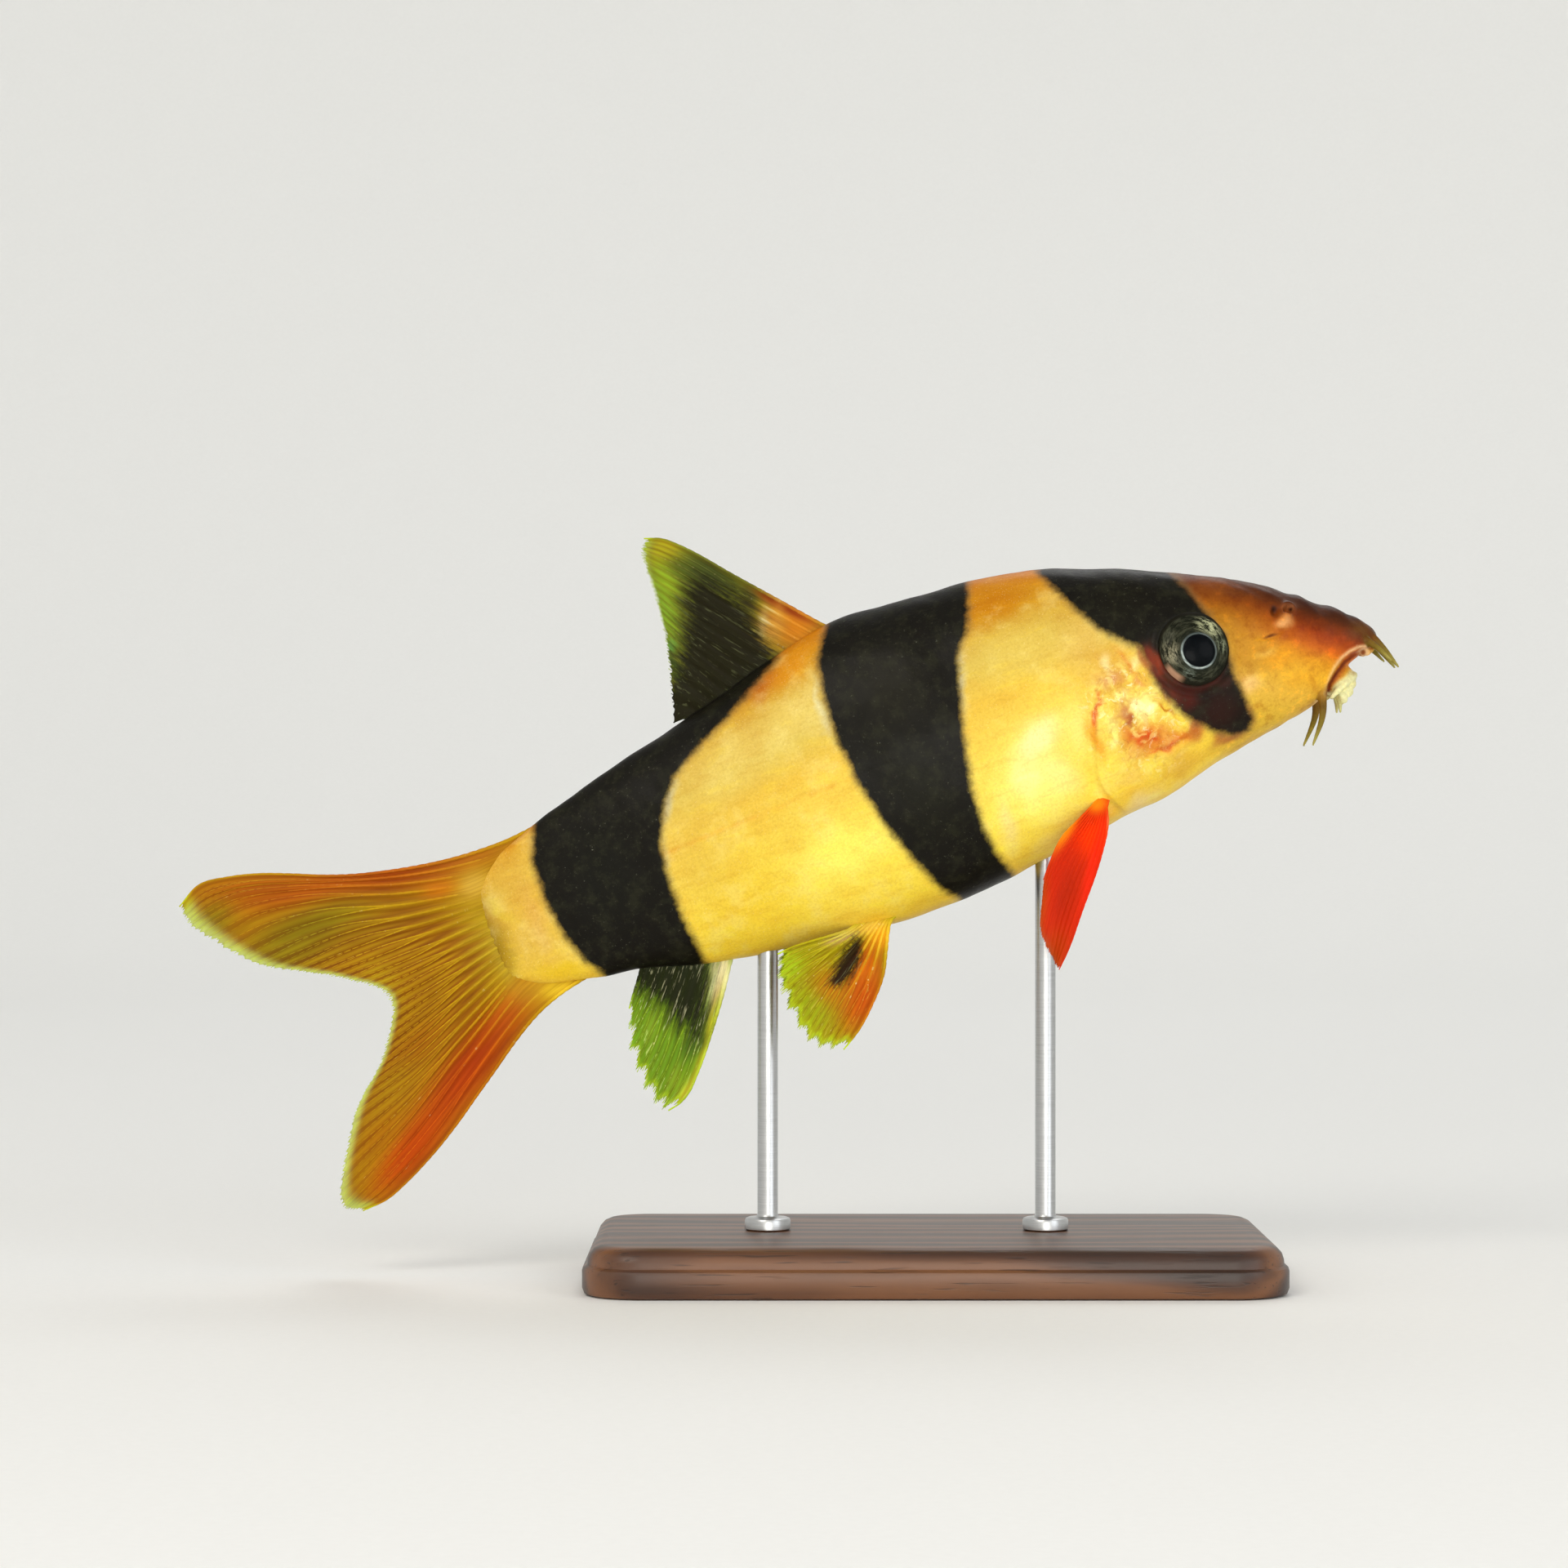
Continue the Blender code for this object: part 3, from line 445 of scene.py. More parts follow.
def relief(points):
    # How far the skin stands out of, or dips into, the plain body at these points, in mm
    flat = seen(points)
    x, z = flat.T
    ahead = x - through(gill["edge"], z)
    along = np.clip((z - gill["bottom"]) / (gill["top"] - gill["bottom"]), 0, 1)
    edge = np.sin(math.pi * along) ** 0.6
    total = gill["rise"] * np.clip(1 - ahead / gill["fade"], 0, 1) * edge * rise(-0.05, 0.3, ahead)
    total -= gill["groove"] * edge * np.exp(-((ahead + 0.55) / 0.42) ** 2)
    # creases of the cheek and the gill cover
    for crease, depth, width in ((face["cheekCrease"], 0.24, 0.26), (face["coverCrease"], 0.12, 0.3),
                                 (face["lowerCrease"], 0.2, 0.24)):
        gap, share = lineDistance(flat, crease)
        fade = np.sin(math.pi * np.clip(share, 0.02, 0.98)) ** 0.5
        total -= depth * fade * np.exp(-(gap / width) ** 2)
        total += 0.5 * depth * fade * np.exp(-((gap - 2.2 * width) / (1.4 * width)) ** 2)
    # uneven gill plates
    plates = np.exp(-(((x - 24.6) / 6.0) ** 2 + ((z + 4.5) / 7.5) ** 2) ** 2)
    total += plates * (0.07 * wobble(points, 2.2, 41) + 0.035 * wobble(points, 1.0, 42))
    # the lip's rim over the groove of the mouth
    gap, share = lineDistance(flat, face["rim"])
    total += 0.26 * np.exp(-(gap / 0.34) ** 2) * np.sin(math.pi * np.clip(share, 0.08, 0.9)) ** 0.4
    gap, share = lineDistance(flat, face["gap"])
    total -= 0.42 * np.exp(-(gap / 0.3) ** 2) * np.sin(math.pi * np.clip(share, 0.04, 0.96)) ** 0.3
    # nostrils, the flap between them and the slit over the cheek
    total += 0.42 * np.exp(-((np.hypot(x - face["nostril"][0], z - face["nostril"][1]) - 0.72) / 0.25) ** 2)
    total -= 0.9 * bump(flat, *face["nostril"], 0.42)
    total -= 0.75 * bump(flat, *face["rearNostril"], 0.5)
    flap = np.hypot((x - face["flap"][0]) / 1.3, (z - face["flap"][1]) / 0.98)
    total += 0.5 * np.sqrt(np.clip(1 - flap**2, 0, 1))
    gap, share = lineDistance(flat, face["slit"])
    total -= 0.34 * np.exp(-(gap / 0.2) ** 2) * np.sin(math.pi * np.clip(share, 0.05, 0.95))
    total += 0.14 * np.exp(-((gap - 0.5) / 0.3) ** 2) * (z < -1.2)
    # knobs along the top of the snout, soft flesh all over
    top = through(body["back"], x)
    snout = rise(41, 47, x) * rise(-2.4, -0.4, z - top)
    total += 0.12 * snout * np.sin((x - 44) * 1.7 + 1.3 * wobble(points, 6.0, 9)) + 0.035 * rise(30, 40, x) * wobble(points, 2.4, 5)
    total += 0.06 * wobble(points, 9.0, 3) + 0.015 * wobble(points, 2.6, 8)
    for px, pz in face["pores"]:
        total -= 0.1 * bump(flat, px, pz, 0.16)
    # the lateral line, a fine groove along the middle of the side
    lineZ = lateralLine(x)
    total -= 0.07 * np.exp(-((z - lineZ) / 0.24) ** 2) * rise(-57, -52, x) * rise(19, 15, x)
    # a faint row of muscle blocks, slanting back above and below the lateral line
    blocks = np.sin((x + 0.55 * np.abs(z - lineZ)) * 2 * math.pi / 2.6)
    total += 0.01 * blocks * rise(-55, -40, x) * rise(17, 8, x) * rise(14, 8, np.abs(z))
    for side in (-1, 1):
        centre, forward, upward, out = sideFrame(eye["x"], eye["z"], side)
        local = points - np.array(centre)
        r = np.hypot(local @ np.array(forward), local @ np.array(upward))
        near = (points[:, 1] * side > 0) & (r < 9)
        angle = np.arctan2(local @ np.array(upward), local @ np.array(forward))
        low = 0.5 - 0.5 * np.sin(angle + 0.5)
        fold = eye["rim"] * (0.6 + 0.8 * low) * np.exp(-((r - eye["radius"] - 0.55) / 0.34) ** 2)
        fold -= 0.16 * low * np.exp(-((r - eye["radius"] - 1.3) / 0.3) ** 2)
        fold += 0.08 * low * np.exp(-((r - eye["radius"] - 1.9) / 0.35) ** 2)
        socket = -eye["socketDepth"] * (1 - rise(eye["radius"] - 0.35, eye["radius"] + 0.12, r))
        total = np.where(near, np.where(r < eye["radius"] + 0.12, socket, total) + fold, total)
    return total


def lateralLine(x):
    return through([(-58, -2.6), (-45, -1.6), (-30, -0.6), (-10, 0.0), (8, 0.6), (20, 1.6)], x)


def bodyBlank():
    # The whole body as one closed shape with its relief, level and straight
    step = body["ringStep"]
    stations = [body["tailEnd"] + 0.01]
    while stations[-1] < body["snoutEnd"] - 0.01:
        nearEnd = min(stations[-1] - body["tailEnd"], body["snoutEnd"] - stations[-1])
        stations.append(stations[-1] + step * min(1.0, 0.12 + nearEnd / 1.5))
    stations[-1] = body["snoutEnd"] - 0.01
    x = np.repeat(stations, body["sides"]).reshape(-1, body["sides"])
    turn = np.tile(np.arange(body["sides"]) * 2 * math.pi / body["sides"], (len(stations), 1))
    width, middle, above, below = [v.reshape(x.shape) for v in section(x.ravel())]
    across, up = np.cos(turn), np.sin(turn)
    square = np.where(up >= 0, through(body["squareAbove"], x.ravel()).reshape(x.shape),
                      through(body["squareBelow"], x.ravel()).reshape(x.shape))
    y = width * np.sign(across) * np.abs(across) ** (2 / square)
    z = middle + np.where(up >= 0, above, below) * np.sign(up) * np.abs(up) ** (2 / square)
    grid = np.stack([x, y, z], 2)
    along = np.gradient(grid, axis=0)
    round_ = np.roll(grid, -1, axis=1) - np.roll(grid, 1, axis=1)
    normals = np.cross(round_, along)
    normals /= np.maximum(np.linalg.norm(normals, axis=2, keepdims=True), 1e-9)
    points = (grid + normals * relief(grid.reshape(-1, 3)).reshape(x.shape)[..., None]).reshape(-1, 3)
    sides, rings = body["sides"], len(stations)
    faces = []
    for i in range(rings - 1):
        for k in range(sides):
            a, b = i * sides + k, i * sides + (k + 1) % sides
            faces.append((a, b, b + sides, a + sides))
    faces.append(tuple(range(sides)))
    faces.append(tuple((rings - 1) * sides + k for k in reversed(range(sides))))
    return outward(meshObject("bodyBlank", points, faces))


def tubeObject(name, path, radii, sides=20):
    # A round tube with closed ends along a smooth path, radii given at its ends and between
    path = evenPath(path, 28)
    radius = np.interp(np.linspace(0, 1, len(path)), np.linspace(0, 1, len(radii)), radii)
    side = Vector((0.3, 0.5, 0.8))
    points = []
    for i, point in enumerate(path):
        way = Vector(path[min(i + 1, len(path) - 1)] - path[max(i - 1, 0)]).normalized()
        side = (side - way * side.dot(way)).normalized()
        other = way.cross(side)
        for k in range(sides):
            turn = 2 * math.pi * k / sides
            points.append(Vector(point) + (side * math.cos(turn) + other * math.sin(turn)) * radius[i])
    faces = []
    for i in range(len(path) - 1):
        for k in range(sides):
            a, b = i * sides + k, i * sides + (k + 1) % sides
            faces.append((a, b, b + sides, a + sides))
    faces += [tuple(range(sides)), tuple((len(path) - 1) * sides + k for k in reversed(range(sides)))]
    return outward(meshObject(name, points, faces))


def evenPath(points, count):
    # Evenly spread points on a smooth line through the given ones
    points = np.array(points, float)
    steps = np.linalg.norm(np.diff(points, axis=0), axis=1)
    shares = np.concatenate([[0], np.cumsum(steps)]) / steps.sum()
    at = np.linspace(0, 1, count)
    return np.stack([smoothBetween(shares, points[:, k], at) for k in range(points.shape[1])], 1)


def ball(name, centre, radii):
    shape = bmesh.new()
    bmesh.ops.create_icosphere(shape, subdivisions=4, radius=1.0)
    mesh = bpy.data.meshes.new(name)
    shape.to_mesh(mesh)
    shape.free()
    setPoints(mesh, pointsOf(mesh) * np.array(radii) + np.array(centre))
    obj = bpy.data.objects.new(name, mesh)
    scene.collection.objects.link(obj)
    return obj


mouth = {
    "frontLip": [(53.2, 1.9, -6.9), (54.3, 1.4, -6.8), (54.9, 0.7, -6.6), (55.0, 0.0, -6.5)],
    "lowerLip": [(47.8, 2.3, -10.8), (49.6, 2.1, -9.9), (51.2, 1.2, -9.3), (51.8, 0.0, -9.1)],
    "lipRadii": [0.25, 0.42, 0.5, 0.5, 0.5],
    "jaw": (49.6, 0.0, -8.9),
    "jawRadii": (2.2, 2.3, 2.1),
    # fleshy lobes under the lower lip: place and radii
    "lobes": [((50.9, 0.8, -9.9), (0.75, 0.6, 0.8)), ((50.2, 1.3, -10.7), (0.75, 0.5, 0.75)),
              ((49.4, 1.7, -11.2), (0.55, 0.4, 0.8)), ((51.4, 0.4, -9.4), (0.5, 0.45, 0.6)),
              ((54.0, 1.75, -7.05), (0.55, 0.45, 0.4)), ((54.5, 1.2, -6.95), (0.45, 0.4, 0.4))],
}
barbels = {
    # from the root to the tip on the left side, and the radius at the root
    "rostralInner": ([(54.5, 0.7, -4.3), (55.3, 0.95, -5.7), (56.1, 1.2, -7.4), (57.05, 1.6, -10.1)], 0.66),
    "rostralOuter": ([(53.0, 1.6, -4.2), (54.2, 2.1, -5.4), (55.3, 2.7, -7.0), (56.3, 3.1, -9.0)], 0.52),
    "maxillary": ([(47.5, 2.3, -8.6), (47.0, 2.8, -9.9), (46.0, 3.7, -12.4), (43.5, 4.8, -15.4)], 0.54),
    "mandibular": ([(49.2, 1.0, -9.2), (49.0, 1.3, -10.6), (48.8, 1.5, -11.7), (48.4, 1.8, -12.9)], 0.44),
}


def mirrored(path):
    return [(p[0], -p[1], p[2]) for p in path]


def headPieces():
    pieces = [ball("jaw", mouth["jaw"], mouth["jawRadii"])]
    for word, flip in (("Left", list), ("Right", mirrored)):
        pieces.append(tubeObject("frontLip" + word, flip(mouth["frontLip"]), mouth["lipRadii"]))
        pieces.append(tubeObject("lowerLip" + word, flip(mouth["lowerLip"]), mouth["lipRadii"]))
        for centre, radii in mouth["lobes"]:
            pieces.append(ball("lobe" + word, flip([centre])[0], radii))
        for name, (path, radius) in barbels.items():
            radii = [radius * (1 - k / 8) ** 0.9 + 0.14 for k in range(9)]
            pieces.append(tubeObject(name + word, flip(path), radii))
    return pieces


skinLooks = {
    "voxel": 0.25,               # mm on the trunk
    "headScale": 1.62,           # the head is remeshed this much finer
    "headFrom": 8.0,
    "headTo": 30.0,
    "mostTriangles": 197000,
    "smoothing": 3,
}


def denser(x):
    return 1 + (skinLooks["headScale"] - 1) * rise(skinLooks["headFrom"], skinLooks["headTo"], x)


def remeshed(obj):
    # Fuses the pieces into one skin; the head is stretched first, so its voxels are smaller
    table = np.linspace(-70, 70, 2801)
    stretched = np.cumsum(denser(table)) * (table[1] - table[0])
    p = pointsOf(obj.data)
    scale = denser(p[:, 0])
    setPoints(obj.data, np.stack([np.interp(p[:, 0], table, stretched), p[:, 1] * scale, p[:, 2] * scale], 1))
    made(obj, ("REMESH", {"mode": "VOXEL", "voxel_size": skinLooks["voxel"]}),
         ("SMOOTH", {"factor": 0.5, "iterations": skinLooks["smoothing"]}))
    triangles = sum(len(polygon.vertices) - 2 for polygon in obj.data.polygons)
    made(obj, ("DECIMATE", {"ratio": min(1.0, skinLooks["mostTriangles"] / triangles)}))
    p = pointsOf(obj.data)
    x = np.interp(p[:, 0], stretched, table)
    scale = denser(x)
    setPoints(obj.data, np.stack([x, p[:, 1] / scale, p[:, 2] / scale], 1))
    print("skin triangles", triangles, "thinned to", len(obj.data.polygons))
    return outward(obj)


print("skin colours")

bands = {
    # the three black bands as outlines on the side, well past the back and the belly
    "eyeBand": [(18.5, 20), (20, 15.4), (21.5, 12.4), (22.6, 10.0), (24.4, 7.0), (26.2, 4.9), (28.3, 3.2), (28.7, 0.9),
                (28.6, -0.8), (29.0, -2.6), (29.5, -4.1), (30.3, -6.0), (31.6, -7.9), (33.4, -9.7), (35.4, -10.9), (37.2, -11.1),
                (38.3, -10.0), (38.2, -7.2), (37.9, -3.9), (38.4, 0.9), (37.5, 3.9), (36.3, 7.2), (34.6, 11), (33, 20)],
    "middleBand": [(12.5, 24), (11, 17.2), (9.5, 12.9), (7, 9.9), (5.5, 4.9), (4, -1.1), (3, -6.1), (2.7, -11.1),
                   (3.2, -15.1), (4, -17.1), (5, -24), (0, -24), (-3, -18.1), (-4.5, -16.6), (-6.5, -12.1),
                   (-8.5, -6.1), (-9.8, -0.1), (-10.3, 4.9), (-10.2, 9.9), (-9.3, 14.9), (-6.8, 18.7), (-5, 24)],
    "hindBand": [(-12.5, 20), (-14, 16.9), (-17.5, 14.9), (-22, 12.4), (-27, 9.9), (-30.5, 7.9), (-33, 4.9),
                 (-35, 0.9), (-35.7, -3.1), (-35.7, -9.1), (-35, -14.6), (-34, -22), (-45, -22), (-47, -12.1),
                 (-48.5, -10.1), (-50, -6.1), (-50.8, -1.1), (-50.5, 3.9), (-49, 7.7), (-47, 16), (-30, 22)],
}

# Ground colours: on the trunk by the share of height, on the head by the depth in mm under the back
trunkTones = [(0, "#FCD23C"), (0.1, "#FDE04A"), (0.28, "#F6DE5C"), (0.42, "#EFD050"), (0.58, "#E6BE44"),
              (0.72, "#D6BC56"), (0.84, "#CFA63E"), (0.93, "#CC9220"), (1, "#CC7C10")]
browTones = [(0, "#5C2E10"), (1.5, "#6E3810"), (3, "#8E4C0E"), (5, "#A86E18"), (7, "#BC8626"), (11, "#C4922A"),
             (14, "#DCB044"), (18, "#DCB43A")]
snoutTones = [(0, "#3A1C0C"), (1.5, "#4A2410"), (3, "#6C2C0A"), (4.6, "#983C08"), (6.5, "#C05C12"),
              (8.8, "#DA8E18"), (11, "#E4A62A"), (14, "#E2AE38")]

skinDabs = [
    # x, z, reach along, reach up, lean in degrees, colour, strength
    (-54, -2, 6.5, 13, 0, "#D9AE44", 0.85),
    (-52.7, -3, 1.3, 5.5, 0, "#DDAA60", 0.6),
    (-56.4, -0.5, 2.6, 0.7, -59, "#E6D040", 0.75),
    (-51.8, -10.2, 3.6, 1.4, -14, "#EAC41E", 0.85),
    (-57.7, -5.7, 1.1, 4.6, 0, "#BCA438", 0.55),
    (-46, 0, 12, 14, 0, "#E9C24C", 0.5),
    (-28, -10, 9, 8, 0, "#EEC62C", 0.6),
    (-24, 7, 8, 5, 25, "#E2C662", 0.7),
    (-14, -8, 6, 3.5, 10, "#FDF36A", 0.9),
    (-14, -1, 5, 3, 10, "#F3D256", 0.5),
    (-15, 9.5, 6, 3.2, 20, "#E4CA66", 0.7),
    (-12.5, 15.8, 4.5, 2.4, 25, "#E0931A", 0.8),
    (-17, 14.4, 2.6, 1.6, 25, "#B4521A", 0.55),
    # painted light: a bright glow low on the side behind the gill cover, lit from the front and below
    (10, -8.5, 5, 5.5, 0, "#FDF67E", 0.9),
    (-31, -2, 6, 8, 0, "#DFBC4C", 0.6),
    (14, -4, 6, 4.5, 0, "#F6E06C", 0.8),
    (16.5, 1.5, 5.5, 3.6, 0, "#EECC4C", 0.75),
    (15, 7.5, 6, 3.4, -12, "#DFC258", 0.85),
    (13, 14.2, 6, 3, 0, "#C47E0C", 0.95),
    (16, -14.5, 3.2, 1.5, 10, "#FA8A1E", 0.45),
    (11, -15.5, 4, 1.5, 10, "#FBE27A", 0.6),
    (-17, -15.5, 6, 2, 6, "#F9D850", 0.6),
    # pale seams along the bands, and the shine behind the gill cover
    (-10.9, 9.4, 4.6, 0.55, 86, "#D9D2AA", 0.75),
    (-32.4, 5.0, 3.8, 0.6, 57, "#D6CFAA", 0.75),
    (-35.3, -1.0, 2.6, 0.4, 75, "#DCCB92", 0.6),
    (6.6, 6.8, 4.6, 0.6, 72, "#DED7B0", 0.75),
    (12.7, -3.1, 4.4, 2.2, 35, "#FFF8BC", 0.65),
    (9.9, -7.4, 2.6, 2.4, 20, "#FFFDB0", 0.6),
    (5.6, -12.2, 1.1, 4.2, -8, "#F6E6A0", 0.6),
    (14.2, -8.6, 2.2, 3.6, 25, "#FFF6A8", 0.5),
    # the gill cover and the cheek behind the eye band
    (18.2, -2.9, 2.6, 2.6, 0, "#FBE878", 0.6),
    (22, 6, 4.5, 3.5, 50, "#DDB658", 0.75),
    (24.8, 1.9, 3.4, 2.8, 20, "#DCAA46", 0.8),
    (26.0, -8.4, 5.0, 2.6, -8, "#E8AE42", 0.75),
    (23.5, 0.7, 1.5, 1.1, 10, "#DCA068", 0.85),
    (23.9, 2.7, 0.7, 1.4, -12, "#F6E8A6", 0.85),
    (27.3, 1.5, 1.2, 0.85, 30, "#F6EEA4", 0.9),
    (26.2, 1.8, 2.4, 0.45, -73, "#DC8C34", 0.85),
    (26.6, -0.9, 0.9, 0.5, -80, "#E6A05A", 0.75),
    (25.5, 0.5, 1.5, 0.32, -69, "#F9EA74", 0.9),
    # painted highlights: the near-white glints on the gill cover
    (24.1, -1.9, 1.2, 0.9, 0, "#FFFF9C", 0.9),
    (26.0, -4.0, 1.8, 2.0, -20, "#FFFFB8", 0.97),
    (25.3, -5.6, 0.7, 1.0, 0, "#FDF79A", 0.8),
    (23.9, -3.7, 0.8, 1.3, -20, "#BE744A", 0.85),
    (24.0, -4.9, 0.45, 1.0, -15, "#9E4A28", 0.85),
    (25.2, -7.5, 3.2, 1.5, -20, "#DA7026", 1.0),
    (27.6, -9.0, 2.6, 1.1, -8, "#DE8428", 0.9),
    (25.3, -7.6, 1.3, 0.7, -20, "#D64A16", 0.9),
    (27.7, -9.5, 2.6, 0.36, 0, "#D45412", 0.95),
    (30.0, -9.2, 0.8, 0.65, 20, "#DE7E20", 0.9),
    (28.9, -5.2, 2.4, 0.3, -56, "#C07014", 0.9),
    (30.0, -6.9, 1.8, 0.42, -70, "#FBE250", 0.85),
    (28.6, -11.0, 1.3, 0.5, 20, "#F0D48C", 0.6),
    (21.9, -4.7, 1.0, 2.0, -10, "#F4F084", 0.85),
    (21.4, -6.5, 0.9, 0.8, 0, "#FAF894", 0.85),
    (23.4, -8.9, 1.6, 0.7, 0, "#E6A650", 0.7),
    (24.3, -11.3, 1.8, 0.6, -8, "#FCE95A", 0.7),
    (21.8, -12.5, 3, 2.4, 10, "#F2BE3A", 0.7),
    (28, -12.2, 3.5, 1.6, 12, "#E0AC3A", 0.7),
    (22.0, -14.8, 3.4, 1.2, 14, "#F8DC96", 0.8),
    (20.9, -1.8, 1.6, 0.36, 52, "#DE601A", 0.9),
    (20.1, -3.2, 1.5, 0.45, 66, "#E64C18", 0.95),
    (19.3, -6.0, 0.8, 3.0, 6, "#F49A24", 0.7),
    (28.6, 0.9, 0.55, 3.0, 6, "#A8522A", 0.8),
    (29.2, -3.2, 0.5, 1.9, 16, "#A0522A", 0.7),
    (31.3, -8.6, 0.9, 1.8, -35, "#B8602A", 0.85),
    (34.8, -11.1, 2.6, 0.75, 8, "#B06A34", 0.85),
    (37.9, -8.6, 0.5, 2.0, 8, "#C07A30", 0.6),
    # ahead of the eye
    (39.4, -5.8, 1.5, 1.3, 10, "#F0C47C", 0.8),
    (41.2, -1.8, 2.8, 1.6, 0, "#C98F28", 0.6),
    # painted highlight: a thin pale curve below the slit
    (42.6, -2.9, 1.5, 0.45, 8, "#F2C860", 0.7),
    (43.9, -3.8, 2.4, 1.2, 0, "#E69A1C", 0.6),
    (46.5, -7.0, 4.5, 2.2, -15, "#E6AE2A", 0.6),
    (45.9, -0.05, 1.15, 0.8, 0, "#DDA060", 0.95),
    (46.9, 1.35, 0.8, 0.75, 0, "#A0623A", 0.8),
    # painted shade: dark in the two nostril holes and along the slit's groove
    (45.4, 1.5, 0.42, 0.42, 0, "#2E140A", 0.95),
    (46.9, 1.2, 0.34, 0.34, 0, "#2A1208", 0.95),
    (43.8, -1.25, 1.25, 0.2, -6, "#5A2C10", 0.85),
    (54.6, -4.2, 1.6, 1.6, 0, "#6A4416", 0.7),
    (39, 7.2, 2.6, 1.2, -25, "#8A4A14", 0.6),
    # the tail's root, paling before the fin
    (-59.0, -2.0, 1.9, 8.5, 0, "#BE9236", 0.9),
    (-59.0, -4.4, 2.6, 6.4, 0, "#9E7D14", 0.95),
    (-57.0, -10.6, 1.6, 1.4, 30, "#B88818", 0.8),
]

tailPaint = {
    # the caudal fin's colours, which run on over the end of the body
    "ground": "#AA7E08",
    "dabs": [(-72, 8.9, 17, 2.7, -9, "#B85008", 0.95), (-84, 12.4, 9, 2.2, -14, "#A85608", 0.85),
             (-60, 7.2, 8, 1.8, 0, "#AA5E10", 0.75), (-80, 4.8, 12, 4.2, 8, "#847A0C", 0.8),
             (-90.5, 10.5, 3.5, 2.6, 20, "#86780E", 0.7), (-72, 2.6, 9, 2.2, -4, "#9A720A", 0.7),
             (-63, -4, 7, 4.5, 0, "#B08408", 0.7), (-67, -17.6, 14, 3.5, 33, "#B84404", 0.97),
             (-77, -24.6, 8.5, 2.8, 30, "#BE4802", 0.97), (-60, -12.6, 6, 2.2, 33, "#B65208", 0.85),
             (-72, -13.0, 7, 2.4, 24, "#A86402", 0.6), (-76, -15.5, 4.5, 2.0, 22, "#A8860A", 0.6),
             (-80, -21.5, 5, 1.8, 28, "#AA6802", 0.7), (-73.5, -4.5, 3.0, 4.5, 0, "#BEAA10", 0.6),
             (-59.2, -3.2, 4.6, 8.0, -4, "#B5951A", 0.97), (-58.4, 3.6, 3.0, 2.2, 0, "#D2A83E", 0.9),
             (-62.6, 4.6, 2.8, 1.5, -4, "#C8700E", 0.75), (-56.0, -10.5, 3.4, 2.4, 30, "#C08E1E", 0.85),
             (-52.5, -12.4, 4.0, 1.8, -25, "#E6C02A", 0.9), (-58.2, -5.7, 1.4, 4.6, 0, "#BCA438", 0.6), (-86.3, -28.4, 1.3, 1.0, 30, "#4A5A18", 0.6)],
}
bandGround = "#12100A"
bandDabs = [
    # brown and dark red in the eye band, olive and slate in the others
    (34.6, -7.6, 4.0, 3.6, 0, "#2A130C", 0.9),
    (30.2, -2.4, 1.6, 4.4, 6, "#5C2212", 0.95),
    (29.3, 0.6, 0.7, 2.8, 3, "#8E361C", 0.9),
    (29.8, -2.8, 0.55, 1.7, 14, "#7E2E18", 0.85),
    (31.6, -5.0, 1.3, 1.8, -18, "#4A170C", 0.9),
    (36.6, -4.6, 1.6, 0.8, 0, "#3A1A10", 0.7),
    (27.5, 8.5, 6, 4, 45, "#17150A", 0.6),
    (-2, 9, 5, 6, 0, "#211F13", 0.6),
    (-3, -4, 4, 8, 10, "#1A1A0E", 0.6),
    (-43, 0, 5, 8, 0, "#15160F", 0.6),
]
gillGlitter = (24.6, -4.8, 5.4, 7.4)   # centre and reach of the crinkled gill cover


def asLine(tones, at):
    places = [p for p, _ in tones]
    colours = np.array([srgb(code) for _, code in tones])
    return np.stack([np.interp(at, places, colours[:, k]) for k in range(3)], 1)


def dabbed(colour, flat, dabs, fade=1.6):
    # Lays soft oval dabs of colour over the ground
    for x, z, long, high, lean, code, strength in dabs:
        c, s = math.cos(math.radians(lean)), math.sin(math.radians(lean))
        dx, dz = flat[:, 0] - x, flat[:, 1] - z
        reach = ((dx * c + dz * s) / long) ** 2 + ((dz * c - dx * s) / high) ** 2
        weight = (strength * np.exp(-fade * reach**1.3))[:, None]
        colour = colour * (1 - weight) + srgb(code) * weight
    return colour


